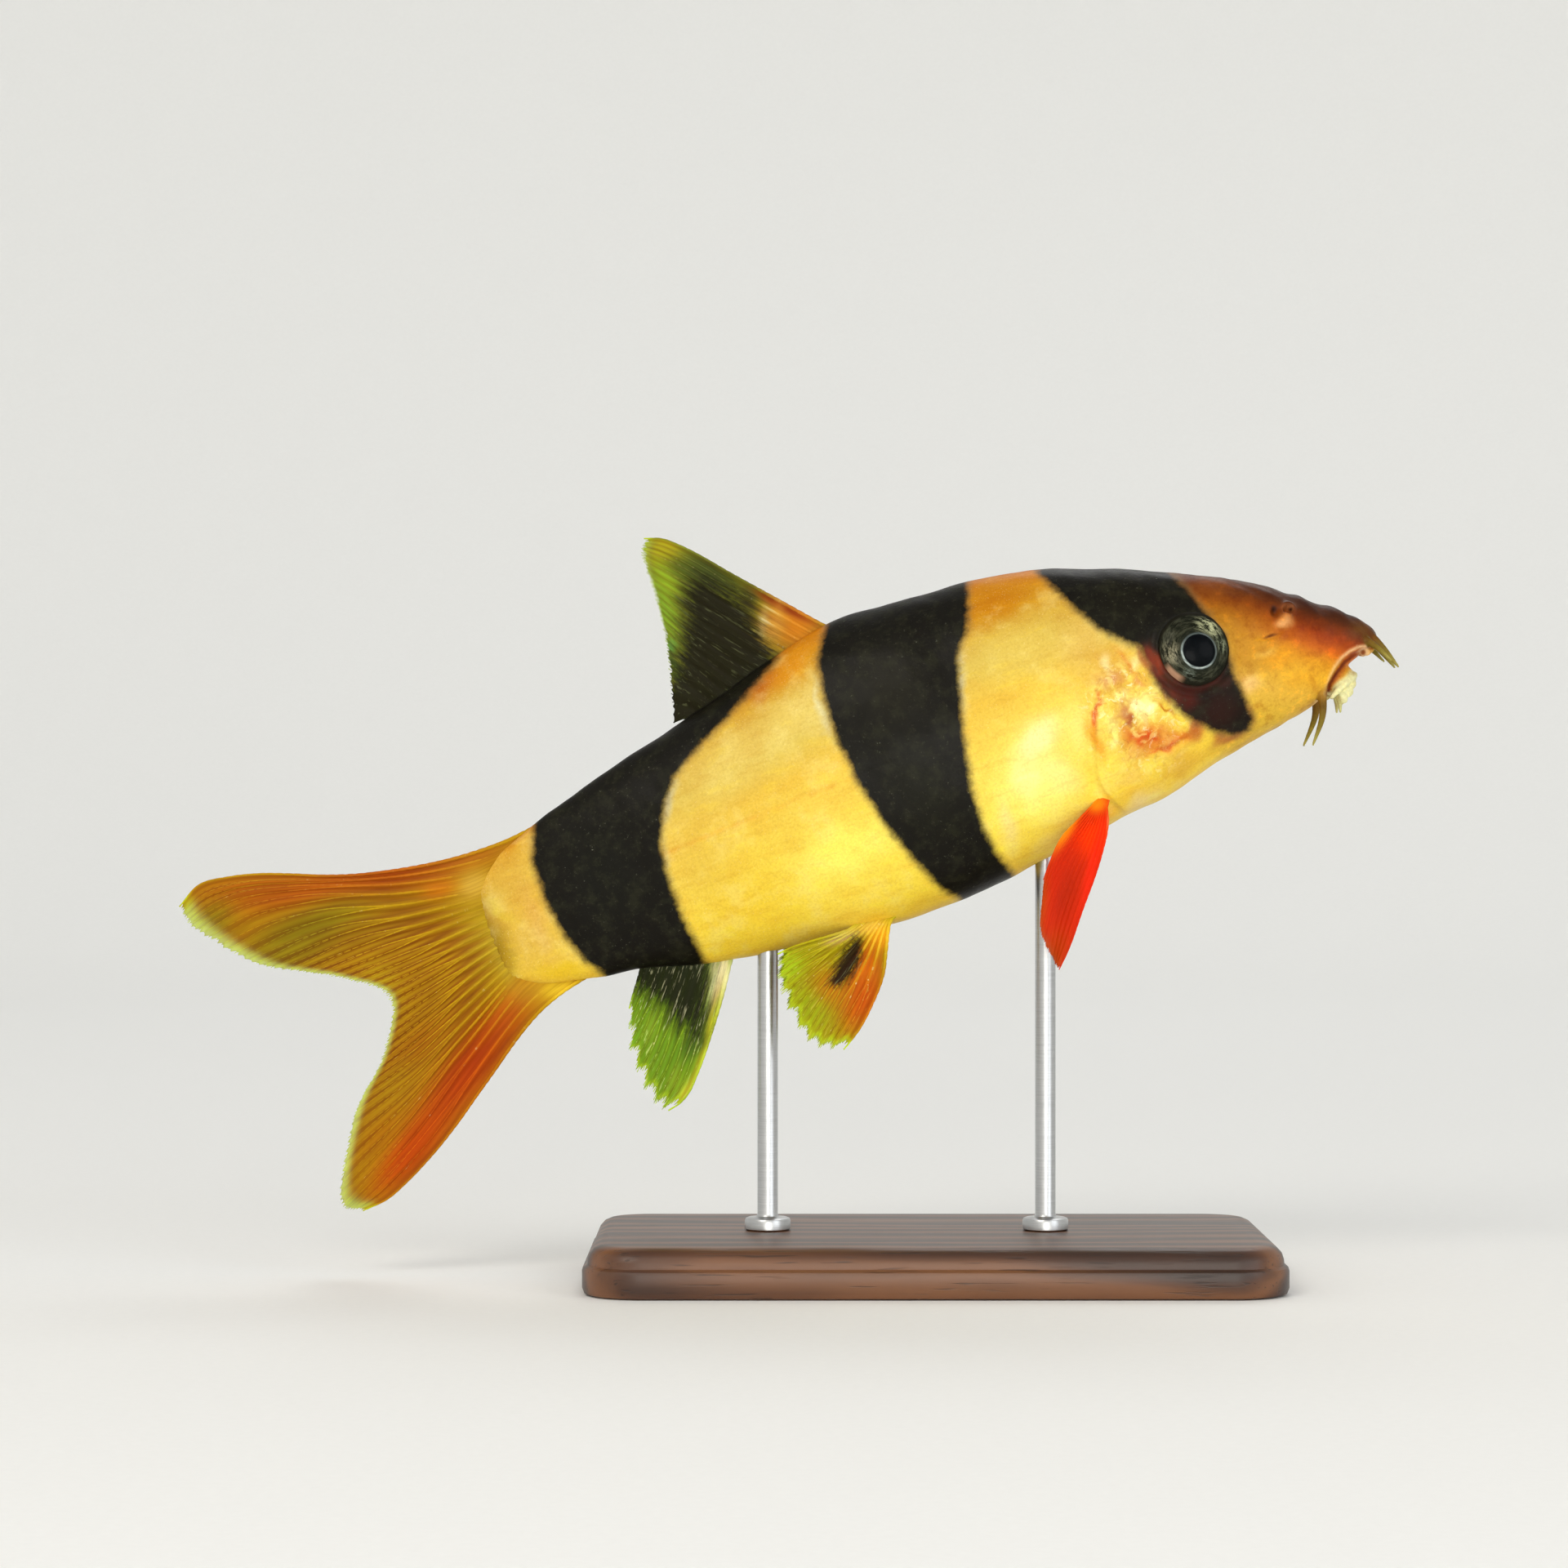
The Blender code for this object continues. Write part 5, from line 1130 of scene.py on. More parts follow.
def finPiece(name, fin, tree, material, side=1):
    # A pleated membrane with branching rays, from the fin's key rays
    swing = fin["leftSwing"] if side > 0 and fin["leftSwing"] else 0.0
    place = finSurface(swungForward(fin["keyRays"], swing) if swing else fin["keyRays"])
    rays, tips = fin["rays"], fin["rays"] * 4 - 3
    lengthAt = [np.linalg.norm(np.diff(place(np.linspace(0, 1, 25), np.full(25, v)), axis=0), axis=1).sum()
                for v in np.linspace(0, 1, 21)]
    rng = np.random.default_rng(fin["seed"])
    ragged = rng.uniform(-1, 1, tips)

    def lifted(u, v):
        # pleats between the rays and a slow wave towards the tips
        pleat = fin["pleat"] * np.cos(2 * math.pi * v * (rays - 1)) * rise(0.02, 0.3, u) * (1 - 0.6 * u)
        wave = fin["wave"] * np.sin(v * fin["waves"] * math.pi + 1.1) * u**2
        return place(u, v) + finNormals(place, u, v) * (pleat + wave)[:, None]

    def lobed(v):
        # where the margin lies between the main rays, from 1 at their tips
        length = np.interp(v, np.linspace(0, 1, 21), lengthAt)
        return 1 - fin["lobes"] * np.minimum(1, length / 10) * np.abs(np.sin(math.pi * v * (rays - 1))) ** 1.3 / length

    def reach(v):
        # the membrane ends short of the ray tips, in scallops
        length = np.interp(v, np.linspace(0, 1, 21), lengthAt)
        scallop = np.abs(np.sin(math.pi * v * (tips - 1))) ** 0.8
        uneven = np.interp(v, np.linspace(0, 1, tips), ragged)
        notch = fin["notch"] * np.minimum(1, length / 10)
        return lobed(v) - notch * (0.25 + 0.75 * scallop) * (1 + 0.5 * uneven) / length

    columns, rows = (tips - 1) * fin["finesse"] + 1, fin["rows"]
    v = np.repeat(np.linspace(0, 1, columns), rows)
    u = np.tile(np.linspace(0, 1, rows), columns) * reach(v)
    middle, normals = lifted(u, v), finNormals(place, u, v)
    half = fin["membrane"] / 2 * (1 - 0.65 * u)
    half += fin["flesh"] * (1 - rise(0.03, 0.2, u)) * rise(0.0, 0.1, v) * rise(1.0, 0.9, v)
    sheet = len(u)
    points = np.concatenate([middle + normals * half[:, None], middle - normals * half[:, None]])
    faces = []
    for j in range(columns - 1):
        for i in range(rows - 1):
            a, b = j * rows + i, (j + 1) * rows + i
            faces.append((a, b, b + 1, a + 1))
            faces.append((sheet + a + 1, sheet + b + 1, sheet + b, sheet + a))
    border = [j * rows for j in range(columns)] + [(columns - 1) * rows + i for i in range(1, rows)]
    border += [j * rows + rows - 1 for j in range(columns - 2, -1, -1)] + list(range(rows - 2, 0, -1))
    faces += [(a, sheet + a, sheet + b, b) for a, b in zip(border, border[1:] + border[:1])]
    uAll, vAll = np.concatenate([u, u]), np.concatenate([v, v])
    rayRadius, isRay = np.zeros(2 * sheet), np.zeros(2 * sheet)

    # rays: a trunk that forks twice; the first and last stay single
    linePoints, edges, lineU, lineV, lineR = [], [], [], [], []
    gap = 1 / (tips - 1)
    firstFork, secondFork = fin["forks"]

    def draw(us, vs, radii):
        start = 2 * sheet + len(linePoints)
        linePoints.extend(lifted(us, vs))
        edges.extend((start + k, start + k + 1) for k in range(len(us) - 1))
        lineU.extend(us)
        lineV.extend(vs)
        lineR.extend(radii)

    for ray in range(rays):
        v0 = ray * 4 * gap
        steps = fin["raySteps"]
        inner = [side_ for side_ in (-1, 1) if 0 < ray < rays - 1]
        endsAt = firstFork if inner else 1.0
        us = np.linspace(0, endsAt, int(steps * endsAt) + 2)
        taper = 1 - (1 - fin["tipShare"]) * us
        draw(us, np.full(len(us), v0), fin["rayRadius"] * taper * (1.25 if not inner else 1.0))
        for way in inner:
            fork = firstFork + 0.05 * rng.uniform(-1, 1)
            us = np.linspace(fork - 0.02, secondFork, int(steps * (secondFork - fork)) + 2)
            spread = rise(0, 1, (us - fork) / (secondFork - fork)) * gap
            draw(us, v0 + way * spread, fin["rayRadius"] * 0.8 * (1 - (1 - fin["tipShare"]) * us))
            for turn in (-1, 1):
                split = secondFork + 0.04 * rng.uniform(-1, 1)
                last = float(lobed(v0 + (way + 0.5 * turn) * gap)) - 0.02 * rng.uniform(0, 1)
                us = np.linspace(min(split, secondFork) - 0.01, last, int(steps * (1 - split)) + 3)
                fan = rise(0, 1, (us - split) / (last - split)) * gap * 0.5
                vs = np.clip(v0 + way * gap + turn * fan, 0, 1)
                draw(us, vs, fin["rayRadius"] * 0.62 * (1 - (1 - fin["tipShare"]) * us))
    points = np.concatenate([points, np.array(linePoints)])
    uAll, vAll = np.concatenate([uAll, lineU]), np.concatenate([vAll, lineV])
    rayRadius = np.concatenate([rayRadius, np.array(lineR) * mm])
    isRay = np.concatenate([isRay, np.ones(len(lineU))])

    flat = seen(points)
    sidePoints = points * (1, side, 1)
    obj = meshObject(name, toWorld(sidePoints), [f[::side] for f in faces], edges)
    colour = dabbed(np.tile(srgb(fin["ground"]), (len(flat), 1)), flat, fin["dabs"])
    ripple = 2 * math.pi * vAll * (rays - 1)
    forked = rise(firstFork, firstFork + 0.2, uAll)
    valley = (0.5 - 0.5 * np.cos(ripple)) * (1 - forked) + (0.5 - 0.5 * np.cos(2 * ripple)) * forked
    outer = rise(0.25, 0.85, 2 * np.abs(vAll - 0.5)) * rise(0.2, 0.5, uAll)
    valley *= fin["valley"] * rise(*fin["valleyFrom"], uAll) * (1 - fin["valleyFade"] * outer)
    colour = colour * (1 - valley * (1 - isRay))[:, None] ** (0.45, 0.9, 1.3)
    rayTone = dabbed(np.tile(srgb(fin["rayTone"]), (len(flat), 1)), flat, fin["rayDabs"])
    share = (isRay * fin["rayShare"])[:, None]
    colour = colour * (1 - share) + rayTone * share
    outwards = uAll / lobed(vAll)
    fringe = rise(fin["fringeFrom"], 1.0, outwards) * fin["fringeShare"] * rise(0.0, 0.06, vAll) * rise(1.0, 0.97, vAll)
    colour = colour * (1 - fringe[:, None]) + srgb(fin["fringe"]) * fringe[:, None]
    tip = (rise(fin["tipFrom"], fin["tipFrom"] + 0.03, outwards) * (0.6 + 0.4 * isRay) * fin["tipGlow"])[:, None]
    colour = colour * (1 - tip) + srgb(fin["tipTone"]) * tip
    dark = insideBy(flat, fin["dark"]) if fin["dark"] else np.full(len(flat), -9.0)
    setAttribute(obj.data, "ground", linear(colour))
    setAttribute(obj.data, "pigment", dark)
    setAttribute(obj.data, "finPlace", np.stack([uAll * 20, vAll * (tips - 1), uAll * 0], 1))
    setAttribute(obj.data, "isRay", isRay)
    setAttribute(obj.data, "rayRadius", rayRadius)
    clear = fin["clear"] * rise(fin["fringeFrom"] - 0.02, 0.99, outwards) * rise(0.0, 0.06, vAll) * rise(1.0, 0.96, vAll)
    setAttribute(obj.data, "film", 1 - (1 - 0.6 * isRay) * clear)
    obj.data.shade_smooth()
    step = obj.modifiers.new("finRays", "NODES")
    step.node_group = tree
    sockets = {item.name: item.identifier for item in tree.interface.items_tree if item.in_out == "INPUT"}
    for socket, value in (("Thickness", 1.0), ("Joint spacing", fin["jointSpacing"] * mm), ("Joint depth", 0.22),
                          ("Sides", 8), ("Finish", material)):
        step[sockets[socket]] = value
    bpy.context.view_layer.update()
    result = bpy.data.meshes.new_from_object(obj.evaluated_get(bpy.context.evaluated_depsgraph_get()))
    obj.modifiers.clear()
    obj.data = result
    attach(obj, "root")
    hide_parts(*[node.format(side="left" if side > 0 else "right") for node in fin["nodes"]])
    print(name, len(result.polygons), "faces")
    return obj


def finMembrane(name, fin):
    # thin wet skin stretched between bony rays: colour runs in streaks along the rays, the margin lets light through
    material, tree, shader = finish(name, {
        "Roughness": 0.48, "IOR": 1.36, "Specular IOR Level": 0.13})
    place = (add(tree, "ShaderNodeAttribute", {"attribute_name": "finPlace"}), "Vector")
    ground = (add(tree, "ShaderNodeAttribute", {"attribute_name": "ground"}), "Color")
    pigment = (add(tree, "ShaderNodeAttribute", {"attribute_name": "pigment"}), "Fac")
    film = (add(tree, "ShaderNodeAttribute", {"attribute_name": "film"}), "Fac")
    isRay = (add(tree, "ShaderNodeAttribute", {"attribute_name": "isRay"}), "Fac")
    streaks = add(tree, "ShaderNodeTexNoise", None, {
        "Vector": add(tree, "ShaderNodeMapping", None, {"Vector": place, "Scale": (0.16, 0.9, 1.0)}),
        "Scale": 1.0, "Detail": 4.0, "Roughness": 0.6})
    fine = add(tree, "ShaderNodeTexNoise", None, {
        "Vector": add(tree, "ShaderNodeMapping", None, {"Vector": place, "Scale": (0.9, 1.6, 1.0)}),
        "Scale": 1.6, "Detail": 3.0, "Roughness": 0.7})
    # painted glints: short pale dashes along the rays, and grey-green to pale ones in the black
    glintDashes = add(tree, "ShaderNodeTexNoise", None, {
        "Vector": add(tree, "ShaderNodeMapping", None, {"Vector": place, "Scale": (0.3, 1.5, 1.0)}),
        "Scale": 1.0, "Detail": 3.0, "Roughness": 0.6})
    glintDashes = reckon(tree, "MULTIPLY_ADD", streaks, 0.5, reckon(tree, "SUBTRACT", glintDashes, 0.25))
    colour = mix(tree, between(tree, streaks, 0.42, 0.62, 0.0, fin["mottle"]), ground, (0.45, 0.25, 0.08, 1.0), "MULTIPLY")
    colour = mix(tree, between(tree, streaks, 0.44, 0.30, 0.0, 0.2), colour, linear("#F2DC7A"), "SOFT_LIGHT")
    # painted glints: pale flecks on the rays
    glints = reckon(tree, "MULTIPLY", between(tree, fine, 0.6, 0.72, 0.0, fin["glint"]), isRay)
    colour = mix(tree, glints, colour, linear("#F2E69C"))
    colour = mix(tree, between(tree, glintDashes, 0.6, 0.7, 0.0, fin["dashGlint"]), colour, linear(fin["dashGlintTone"]))
    bold = fin["streak"]
    edge = reckon(tree, "MULTIPLY_ADD", streaks, bold, reckon(tree, "SUBTRACT", pigment, bold / 2))
    edge = reckon(tree, "MULTIPLY_ADD", fine, 2.4, reckon(tree, "SUBTRACT", edge, 1.2))
    black = mix(tree, between(tree, glintDashes, 0.58, 0.70, 0.0, fin["blackDashGlint"]), linear(fin["blackTone"]), linear(fin["blackGlint"]))
    colour = mix(tree, between(tree, edge, -fin["softness"], fin["softness"], 0.0, 0.97), colour, black)
    tree.links.new(colour[0].outputs[2], shader.inputs["Base Color"])
    tree.links.new(film[0].outputs[film[1]], shader.inputs["Alpha"])
    bumps = add(tree, "ShaderNodeBump", None, {"Height": fine, "Strength": 0.15, "Distance": 0.0001})
    tree.links.new(bumps.outputs[0], shader.inputs["Normal"])
    return material


finBuild = {
    # shared by all fins, in mm unless said
    "membrane": 0.22, "pleat": 0.14, "wave": 0.35, "waves": 3.0, "notch": 0.7, "lobes": 0.0, "rows": 46, "finesse": 3,
    "raySteps": 90, "rayRadius": 0.22, "tipShare": 0.34, "forks": (0.38, 0.68), "jointSpacing": 1.1,
    "rayShare": 0.8, "valley": 0.4, "fringeFrom": 0.93, "fringeShare": 0.5, "fringe": "#D8DE7A", "clear": 0.3,
    "tipGlow": 0.7, "tipTone": "#C2E01E",
    "dark": None, "dabs": [], "rayDabs": [], "leftSwing": 0.0, "valleyFade": 0.0, "valleyFrom": (0.06, 0.3), "glint": 0.6,
    "streak": 6.0, "mottle": 0.3, "blackGlint": "#5E6240", "softness": 1.2,
    "dashGlint": 0.0, "dashGlintTone": "#DCE88A", "blackDashGlint": 0.8, "flesh": 0.0, "tipFrom": 0.95, "seed": 1,
}

dorsalFin = {
    **finBuild, "nodes": ["dorsal_fin"], "slot": "fin_black", "rays": 11, "seed": 11, "blackTone": "#181408",
    "valley": 0.2, "glint": 0.4, "streak": 5.0, "softness": 1.7, "rayShare": 0.6, "blackDashGlint": 0.45,
    "keyRays": [
        [(-7.0, 18.6), (-11.0, 23.2), (-15.5, 28.4), (-19.5, 33.1), (-22.3, 35.6), (-24.2, 36.3)],
        [(-11.5, 17.9), (-17.5, 25.2), (-22.2, 31.2), (-25.2, 34.4)],
        [(-16.5, 16.6), (-20.6, 21.8), (-23.5, 26.0), (-25.4, 29.2)],
        [(-21.5, 15.3), (-23.6, 18.8), (-25.2, 21.6), (-26.1, 23.4)],
        [(-26.6, 13.8), (-27.2, 14.0), (-27.9, 14.0), (-28.5, 13.9)],
    ],
    "ground": "#6E7A1C", "rayTone": "#8A8E2E", "fringe": "#9CB23A", "fringeShare": 0.5,
    "dabs": [(-10.5, 20.3, 5.5, 5.0, -50, "#CC7E16", 1.0), (-11, 22.8, 5.0, 0.8, -49, "#8E340C", 0.9),
             (-12.9, 20.4, 1.5, 2.6, -49, "#C8A04A", 0.6), (-14.0, 21.6, 0.8, 2.6, -30, "#D8CC96", 0.6), (-15.0, 24.2, 1.3, 3.4, -20, "#4A4A1E", 0.7),
             (-22.6, 34.0, 3.2, 3.0, -40, "#B2A616", 0.97), (-23.6, 30.6, 1.9, 3.5, 0, "#8EAE22", 0.95),
             (-24.9, 27.0, 1.6, 4.0, 0, "#7CA426", 0.9), (-18.6, 29.8, 4.6, 1.9, -45, "#3C4619", 0.93),
             (-21.2, 31.2, 2.2, 1.3, -45, "#55661E", 0.7), (-12.4, 21.8, 1.0, 3.4, -40, "#D6A040", 0.65),
             (-16.6, 30.2, 4.5, 0.6, -49, "#4C3C16", 0.8), (-26.2, 20.6, 0.9, 3.5, 10, "#3A5222", 0.7),
             (-25.6, 22.9, 0.9, 1.0, 0, "#62A850", 0.7)],
    "rayDabs": [(-10.5, 20.3, 5.5, 5.0, -50, "#DE9430", 1.0), (-13.6, 21.8, 1.4, 3.0, -49, "#E8DCAE", 0.9),
                (-20.0, 24.0, 4.0, 5.0, 0, "#3A3820", 0.85), (-18.6, 29.8, 4.4, 1.9, -45, "#6C7A34", 0.85)],
    "dark": [(-14.4, 10), (-14.0, 17.6), (-14.2, 20.6), (-15.0, 22.8), (-14.6, 25.0), (-16.4, 27.4), (-18.9, 29.5),
             (-20.9, 29.6), (-22.2, 28.2), (-22.7, 25.6), (-24.0, 23.8), (-25.7, 21.0), (-26.8, 18.9), (-30, 18),
             (-32, 10)],
}
analFin = {
    **finBuild, "nodes": ["anal_fin"], "slot": "fin_olive", "rays": 8, "seed": 13, "blackTone": "#1A1A0C",
    "notch": 0.9, "lobes": 1.2, "tipFrom": 0.91, "fringeShare": 0.4, "rayShare": 0.6, "valley": 0.22, "glint": 0.9, "mottle": 0.12,
    "blackGlint": "#A5A27E", "tipGlow": 0.9, "dashGlint": 0.6, "dashGlintTone": "#CFE27A", "softness": 2.0,
    "keyRays": [
        [(-31.9, -15.9), (-34.0, -19.1), (-37.0, -23.2), (-40.2, -27.2), (-43.0, -29.9), (-45.4, -30.6)],
        [(-34.5, -15.3), (-39.0, -21.2), (-43.3, -26.4), (-46.9, -29.8)],
        [(-37.4, -14.6), (-41.4, -19.6), (-44.9, -23.6), (-47.6, -26.0)],
        [(-40.1, -13.8), (-42.9, -17.2), (-45.9, -20.2), (-47.5, -21.4)],
        [(-42.6, -13.2), (-43.5, -14.4), (-44.6, -15.8), (-45.6, -17.2)],
    ],
    "ground": "#6F981A", "rayTone": "#98B62A", "fringe": "#B6CC34",
    "dabs": [(-33.2, -16.2, 1.8, 1.8, 0, "#F4E6A6", 1.0), (-33.9, -18.2, 2.1, 4.8, -35, "#FBF4BA", 1.0), (-37.6, -23.6, 0.8, 7.0, -38, "#E2EA3A", 0.97),
             (-42.6, -29.2, 3.4, 0.9, 38, "#DAE03E", 0.85), (-42, -24.6, 3.0, 2.6, 30, "#6C9A1C", 0.6),
             (-39.6, -24.2, 2.6, 1.5, 30, "#44601A", 0.75), (-43.4, -27.4, 1.0, 2.6, -38, "#93B02C", 0.7),
             (-46.4, -20.6, 1.4, 2.6, 0, "#74A822", 0.7), (-44.0, -20.4, 1.0, 2.4, -38, "#8CAE30", 0.6)],
    "rayDabs": [(-34, -18.2, 2.2, 4.0, -35, "#FFF8CC", 1.0), (-40, -25, 2.0, 2.0, 0, "#CCE07A", 0.7),
                (-37.6, -23.6, 0.8, 7.0, -38, "#E6EE4A", 0.9)],
    "dark": [(-33.4, -10), (-34.0, -15.8), (-34.7, -17.9), (-36.3, -21.0), (-37.8, -22.8), (-38.8, -23.6),
             (-40.0, -23.2), (-41.0, -21.6), (-41.8, -19.6), (-42.6, -17.8), (-43.9, -16.0), (-45.4, -14.6), (-46, -10)],
}
caudalFin = {
    **finBuild, **tailPaint, "nodes": ["caudal_fin_upper", "caudal_fin_lower"], "slot": "fin_orange", "rays": 21,
    "seed": 17, "blackTone": "#3A2A10", "rows": 64, "raySteps": 120, "forks": (0.34, 0.66), "notch": 0.6,
    "waves": 5.0, "rayShare": 0.7, "valley": 0.46, "valleyFade": 0.6, "valleyFrom": (0.14, 0.42), "flesh": 0.26, "tipFrom": 0.94, "glint": 0.2,
    "keyRays": [
        [(-50.5, 7.4), (-59.0, 7.4), (-66.0, 8.4), (-73.0, 10.1), (-84.0, 14.2), (-90.0, 15.2), (-92.4, 14.8), (-93.7, 13.5)],
        [(-57.2, 4.5), (-66.0, 6.0), (-78.0, 9.8), (-87.0, 11.4), (-93.0, 10.2)],
        [(-57.0, 2.0), (-66.0, 2.6), (-76.0, 4.0), (-87.0, 3.4)],
        [(-56.7, -0.4), (-63.0, -0.7), (-70.0, -1.0), (-78.6, -1.2)],
        [(-56.4, -3.2), (-62.0, -4.1), (-68.0, -5.1), (-73.2, -5.8)],
        [(-56.2, -5.6), (-63.0, -7.6), (-69.5, -10.0), (-76.3, -12.2)],
        [(-56.0, -7.6), (-64.0, -11.2), (-73.0, -15.4), (-82.3, -18.2)],
        [(-55.6, -9.2), (-65.0, -14.6), (-76.0, -21.4), (-87.5, -27.4)],
        [(-50.5, -11.9), (-56.0, -13.7), (-66.0, -20.2), (-72.0, -24.3), (-78.0, -27.6), (-82.0, -29.2),
         (-85.2, -29.5)],
    ],
    "rayTone": "#C39A10", "fringe": "#DCE68C", "fringeShare": 0.95, "clear": 0.4, "fringeFrom": 0.925,
    "rayDabs": [(-72, 9, 17, 2.4, -9, "#C8641A", 0.9), (-70, -20, 16, 3.2, 33, "#CC4E0C", 0.9),
                (-82, 5.2, 10, 3.6, 14, "#9C961A", 0.85), (-58.5, -3.2, 4.8, 8.0, -4, "#BFA024", 0.97),
                (-58.4, 3.6, 3.0, 2.2, 0, "#DDB44A", 0.9), (-62.6, 4.6, 2.8, 1.5, -4, "#D67C14", 0.75),
                (-56.0, -10.5, 3.4, 2.4, 30, "#CC9C28", 0.9), (-52.5, -12.4, 4.0, 1.8, -25, "#EEC832", 0.9)],
}
pectoralFin = {
    **finBuild, "nodes": ["pectoral_fin_{side}"], "slot": "fin_red", "rays": 12, "seed": 19, "blackTone": "#5A1206",
    "notch": 0.4, "rows": 40, "pleat": 0.08, "rayRadius": 0.15, "valley": 0.04, "rayShare": 0.12, "mottle": 0.08,
    "tipGlow": 0.0,
    "leftSwing": math.radians(5.5), "glint": 0.05,
    "keyRays": [
        [(17.6, 6.7, -13.3), (16.6, 8.3, -15.8), (13.8, 10.6, -19.8), (9.9, 13.0, -24.3), (6.8, 14.5, -28.0),
         (4.9, 15.0, -29.9)],
        [(17.4, 6.8, -12.9), (14.4, 9.0, -16.4), (10.6, 11.2, -20.2), (6.9, 13.0, -24.5), (4.5, 14.0, -28.2)],
        [(17.2, 6.9, -12.6), (13.7, 8.8, -15.2), (10.1, 10.4, -18.0), (7.1, 11.8, -21.0), (4.5, 12.8, -24.5)],
        [(16.9, 7.0, -12.3), (13.9, 8.6, -13.8), (10.9, 9.8, -15.2), (8.9, 10.6, -17.0), (7.0, 11.4, -19.2)],
    ],
    "ground": "#CC2804", "rayTone": "#DE3A06", "fringe": "#C8641A", "fringeShare": 0.5, "clear": 0.2,
    "dabs": [(15.2, -16.8, 2.8, 3.2, -40, "#FF3C00", 1.0), (13.6, -20.4, 0.9, 7, -34, "#F42A0C", 0.85),
             (9.4, -22.4, 1.5, 4.6, -36, "#B62400", 0.9), (5.8, -28, 2.4, 3, -30, "#BC3C04", 0.85),
             (6.2, -22, 1.2, 5, -24, "#C04A04", 0.8), (12.2, -14.8, 4.4, 1.1, 38, "#FA9208", 0.95),
             (16.8, -13.2, 1.7, 1.4, 0, "#FA960A", 0.95), (17.2, -16.6, 0.32, 3.8, -20, "#F8B888", 0.8)],
    "rayDabs": [(15, -16, 4, 4, 0, "#FA4A08", 0.8), (12.6, -14.4, 3.8, 0.9, 32, "#F78A10", 0.9)],
}
pelvicFin = {
    **finBuild, "nodes": ["pelvic_fin_{side}"], "slot": "fin_orange", "rays": 10, "seed": 23, "blackTone": "#1E0F06",
    "notch": 0.8, "lobes": 1.0, "tipFrom": 0.91, "rayShare": 0.55, "valley": 0.24, "streak": 2.0, "mottle": 0.2, "tipGlow": 0.95,
    "softness": 0.7, "dashGlint": 0.35, "dashGlintTone": "#E0C84A",
    "keyRays": [
        [(-11.9, 3.6, -17.9), (-13.4, 4.5, -20.6), (-15.0, 5.5, -23.7), (-17.5, 6.7, -26.6), (-20.0, 7.6, -28.9),
         (-22.5, 8.2, -30.5)],
        [(-12.6, 3.6, -17.8), (-16.3, 4.9, -21.6), (-20.1, 6.1, -25.2), (-23.1, 6.9, -27.7), (-25.4, 7.4, -29.6)],
        [(-13.6, 3.6, -17.7), (-17.9, 5.0, -20.6), (-21.6, 6.0, -23.0), (-24.6, 6.7, -25.3), (-26.9, 7.1, -27.1)],
        [(-14.7, 3.6, -17.5), (-19.0, 5.0, -19.2), (-22.6, 5.9, -20.5), (-25.5, 6.5, -21.7), (-27.6, 6.8, -22.7)],
        [(-15.8, 3.6, -17.3), (-19.5, 5.1, -17.8), (-22.8, 6.0, -18.2), (-25.5, 6.4, -18.7), (-27.4, 6.6, -19.3)],
        [(-16.6, 3.6, -17.1), (-19.2, 5.2, -17.0), (-21.9, 6.0, -16.8), (-24.2, 6.4, -16.7), (-26.1, 6.6, -16.9)],
    ],
    "ground": "#A29C06", "rayTone": "#C2AE1C", "fringe": "#B8D22C", "fringeShare": 0.5,
    "dabs": [(-13.6, -19.4, 2.2, 2.6, -40, "#FABC1A", 0.97), (-18.2, -25.4, 3.3, 6.0, -33, "#C65600", 1.0),
             (-16.4, -21.8, 2.0, 2.8, -20, "#E07C08", 0.9), (-21.4, -23.2, 2.9, 3.2, 35, "#BC7604", 0.85),
             (-25.0, -24.5, 2.4, 4.0, 20, "#9CAC0A", 0.9), (-25.6, -19.0, 2.6, 2.2, 10, "#A2C412", 0.9),
             (-18.0, -17.8, 3.2, 0.9, 0, "#F8E6AE", 0.9), (-14.6, -17.8, 2.4, 0.9, 0, "#F6CE5C", 0.8)],
    "rayDabs": [(-14, -19, 3, 3, 0, "#FACC46", 0.9), (-18, -26, 2.6, 5, -33, "#DE7A1E", 0.85),
                (-26, -21, 2.4, 5, 10, "#C4DC2C", 0.8)],
    "dark": [(-15.9, -18.9), (-16.6, -21.0), (-18.2, -22.6), (-20.4, -23.6), (-21.7, -22.6), (-20.1, -20.6),
             (-18.0, -19.2), (-16.8, -18.5)],
}

rayGroup = rayTree()
for name, fin in (("dorsalFin", dorsalFin), ("analFin", analFin), ("caudalFin", caudalFin)):
    finPiece(name, fin, rayGroup, finMembrane(name + "Skin", fin))
for name, fin in (("pectoralFin", pectoralFin), ("pelvicFin", pelvicFin)):
    finish_ = finMembrane(name + "Skin", fin)
    for word, side in (("Left", 1), ("Right", -1)):
        finPiece(name + word, fin, rayGroup, finish_, side)


print("stand")

stand = {
    "length": 84.0, "width": 46.0, "height": 6.0, "corner": 7.0,
    # routed edge, as (inset, height)
    "edge": [(0.9, 0.0), (0.25, 0.25), (0.0, 0.9), (0.0, 2.9), (0.12, 3.3), (0.55, 3.6), (0.62, 3.85), (0.66, 4.3),
             (0.9, 5.0), (1.45, 5.6), (2.2, 5.92), (3.0, 6.0)],
    "rodRadius": 1.25, "collarRadius": 2.8, "collarHeight": 1.6,
    "rods": {"front": 14.0, "rear": -20.0},   # where along the fish each rod stands
    "rodTop": {"front": 47.2, "rear": 35.5},   # above the board, just inside the belly
}


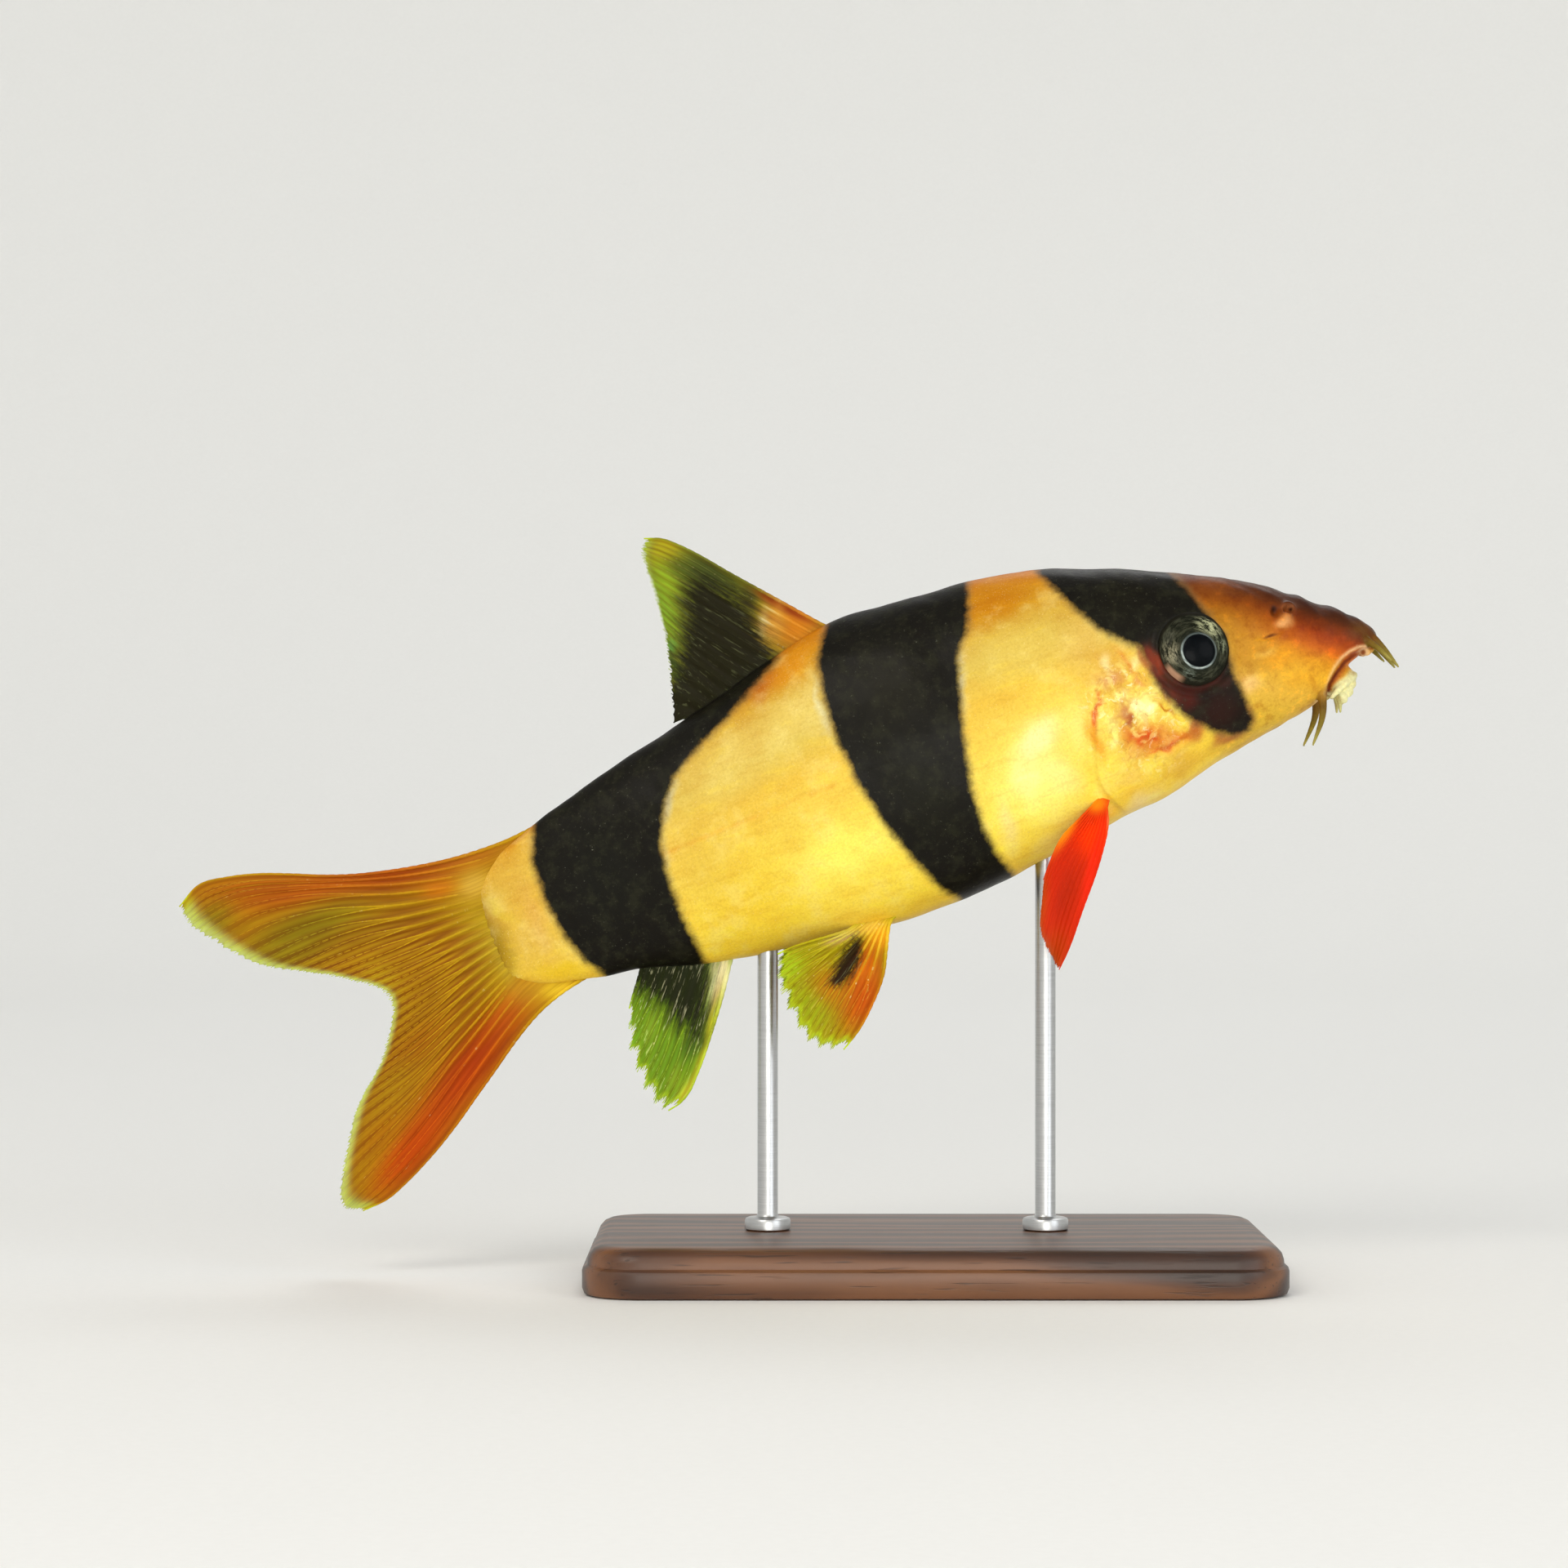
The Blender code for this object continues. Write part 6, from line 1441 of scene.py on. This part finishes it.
def oiledWalnut():
    # oiled walnut board: dark straight grain along the length, fine open pores, satin oil finish
    material, tree, shader = finish("oiledWalnut", {"Roughness": 0.42, "IOR": 1.47, "Coat Weight": 0.15,
                                                    "Coat Roughness": 0.3})
    coords = add(tree, "ShaderNodeTexCoord")
    board = add(tree, "ShaderNodeMapping", None, {"Vector": (coords, "Object"), "Scale": (14.0, 110.0, 110.0),
                                                  "Rotation": (0.2, 0.03, 0.06)})
    drift = add(tree, "ShaderNodeTexNoise", None, {"Vector": board, "Scale": 0.7, "Detail": 3.0})
    moved = add(tree, "ShaderNodeVectorMath", {"operation": "MULTIPLY_ADD"},
                {0: (drift, "Color"), 1: (1.5, 1.5, 1.5), 2: board})
    rings = add(tree, "ShaderNodeTexWave", {"wave_type": "BANDS", "bands_direction": "Y"},
                {"Vector": moved, "Scale": 0.55, "Distortion": 3.0, "Detail": 3.0, "Detail Scale": 1.4})
    tone = add(tree, "ShaderNodeValToRGB", {"stops": [(0.0, "#2F1B10"), (0.4, "#4A2C1A"), (0.75, "#5E3A22"),
                                                     (1.0, "#744A2C")]}, {0: (rings, "Fac")})
    streak = add(tree, "ShaderNodeTexNoise", None, {
        "Vector": add(tree, "ShaderNodeMapping", None, {"Vector": (coords, "Object"), "Scale": (120.0, 2600.0, 2600.0)}),
        "Scale": 1.0, "Detail": 2.0})
    pores = between(tree, streak, 0.6, 0.68)
    colour = mix(tree, reckon(tree, "MULTIPLY", pores, 0.55), (tone, 0), linear("#1E110A"))
    tree.links.new(colour[0].outputs[2], shader.inputs["Base Color"])
    bumps = add(tree, "ShaderNodeBump", {"invert": True}, {"Height": pores, "Strength": 0.3, "Distance": 0.0001})
    tree.links.new(bumps.outputs[0], shader.inputs["Normal"])
    return material


def brushedSteel():
    # drawn stainless rod, brushed round: fine turning lines, soft metallic shine
    material, tree, shader = finish("brushedSteel", {"Metallic": 1.0, "Roughness": 0.3})
    coords = add(tree, "ShaderNodeTexCoord")
    lines = add(tree, "ShaderNodeTexNoise", None, {
        "Vector": add(tree, "ShaderNodeMapping", None, {"Vector": (coords, "Object"), "Scale": (300.0, 300.0, 9000.0)}),
        "Scale": 1.0, "Detail": 2.0})
    tone = add(tree, "ShaderNodeValToRGB", {"stops": [(0.3, "#B4B5B6"), (0.7, "#C4C5C6")]}, {0: lines})
    tree.links.new(tone.outputs[0], shader.inputs["Base Color"])
    tree.links.new(between(tree, lines, 0.3, 0.7, 0.3, 0.36).outputs[0], shader.inputs["Roughness"])
    return material


def standBase():
    steps, points, faces = 12, [], []
    for inset, z in stand["edge"]:
        for sx, sy, start in ((1, 1, 0), (-1, 1, 90), (-1, -1, 180), (1, -1, 270)):
            for k in range(steps + 1):
                turn = math.radians(start + 90 * k / steps)
                radius = stand["corner"] - inset
                points.append(((sx * (stand["length"] / 2 - stand["corner"]) + radius * math.cos(turn)) * mm,
                               (sy * (stand["width"] / 2 - stand["corner"]) + radius * math.sin(turn)) * mm, z * mm))
    count = 4 * (steps + 1)
    for i in range(len(stand["edge"]) - 1):
        for k in range(count):
            a, b = i * count + k, i * count + (k + 1) % count
            faces.append((a, b, b + count, a + count))
    faces += [tuple(reversed(range(count))), tuple((len(stand["edge"]) - 1) * count + k for k in range(count))]
    base = outward(meshObject("standBase", points, faces))
    base.data.set_sharp_from_angle(angle=math.radians(35))
    return base


def standRod(word, x, sides=48):
    top = stand["rodTop"][word]
    r, cr, ch = stand["rodRadius"], stand["collarRadius"], stand["collarHeight"]
    profile = [(cr - 0.25, 0), (cr, 0.2), (cr, ch - 0.4), (cr - 0.12, ch - 0.14), (cr - 0.45, ch), (r + 0.35, ch + 0.02),
               (r + 0.12, ch + 0.12), (r, ch + 0.4), (r, top - 0.3), (r - 0.3, top)]
    y = float(swayAt(np.array(x)))
    points, faces = [], []
    for radius, z in profile:
        points += [((x + radius * math.cos(2 * math.pi * k / sides)) * mm,
                    (y + radius * math.sin(2 * math.pi * k / sides)) * mm, (z + stand["height"]) * mm)
                   for k in range(sides)]
    for i in range(len(profile) - 1):
        for k in range(sides):
            a, b = i * sides + k, i * sides + (k + 1) % sides
            faces.append((a, b, b + sides, a + sides))
    faces += [tuple(reversed(range(sides))), tuple((len(profile) - 1) * sides + k for k in range(sides))]
    rod = outward(meshObject("standRod" + word.title(), points, faces))
    rod.data.set_sharp_from_angle(angle=math.radians(40))
    return rod


base = standBase()
base.data.materials.append(oiledWalnut())
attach(base, "root")
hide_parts("stand_base")
steel = brushedSteel()
for word, x in stand["rods"].items():
    rod = standRod(word, x)
    rod.data.materials.append(steel)
    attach(rod, "root")
    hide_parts("stand_rod_" + word)


print("done")
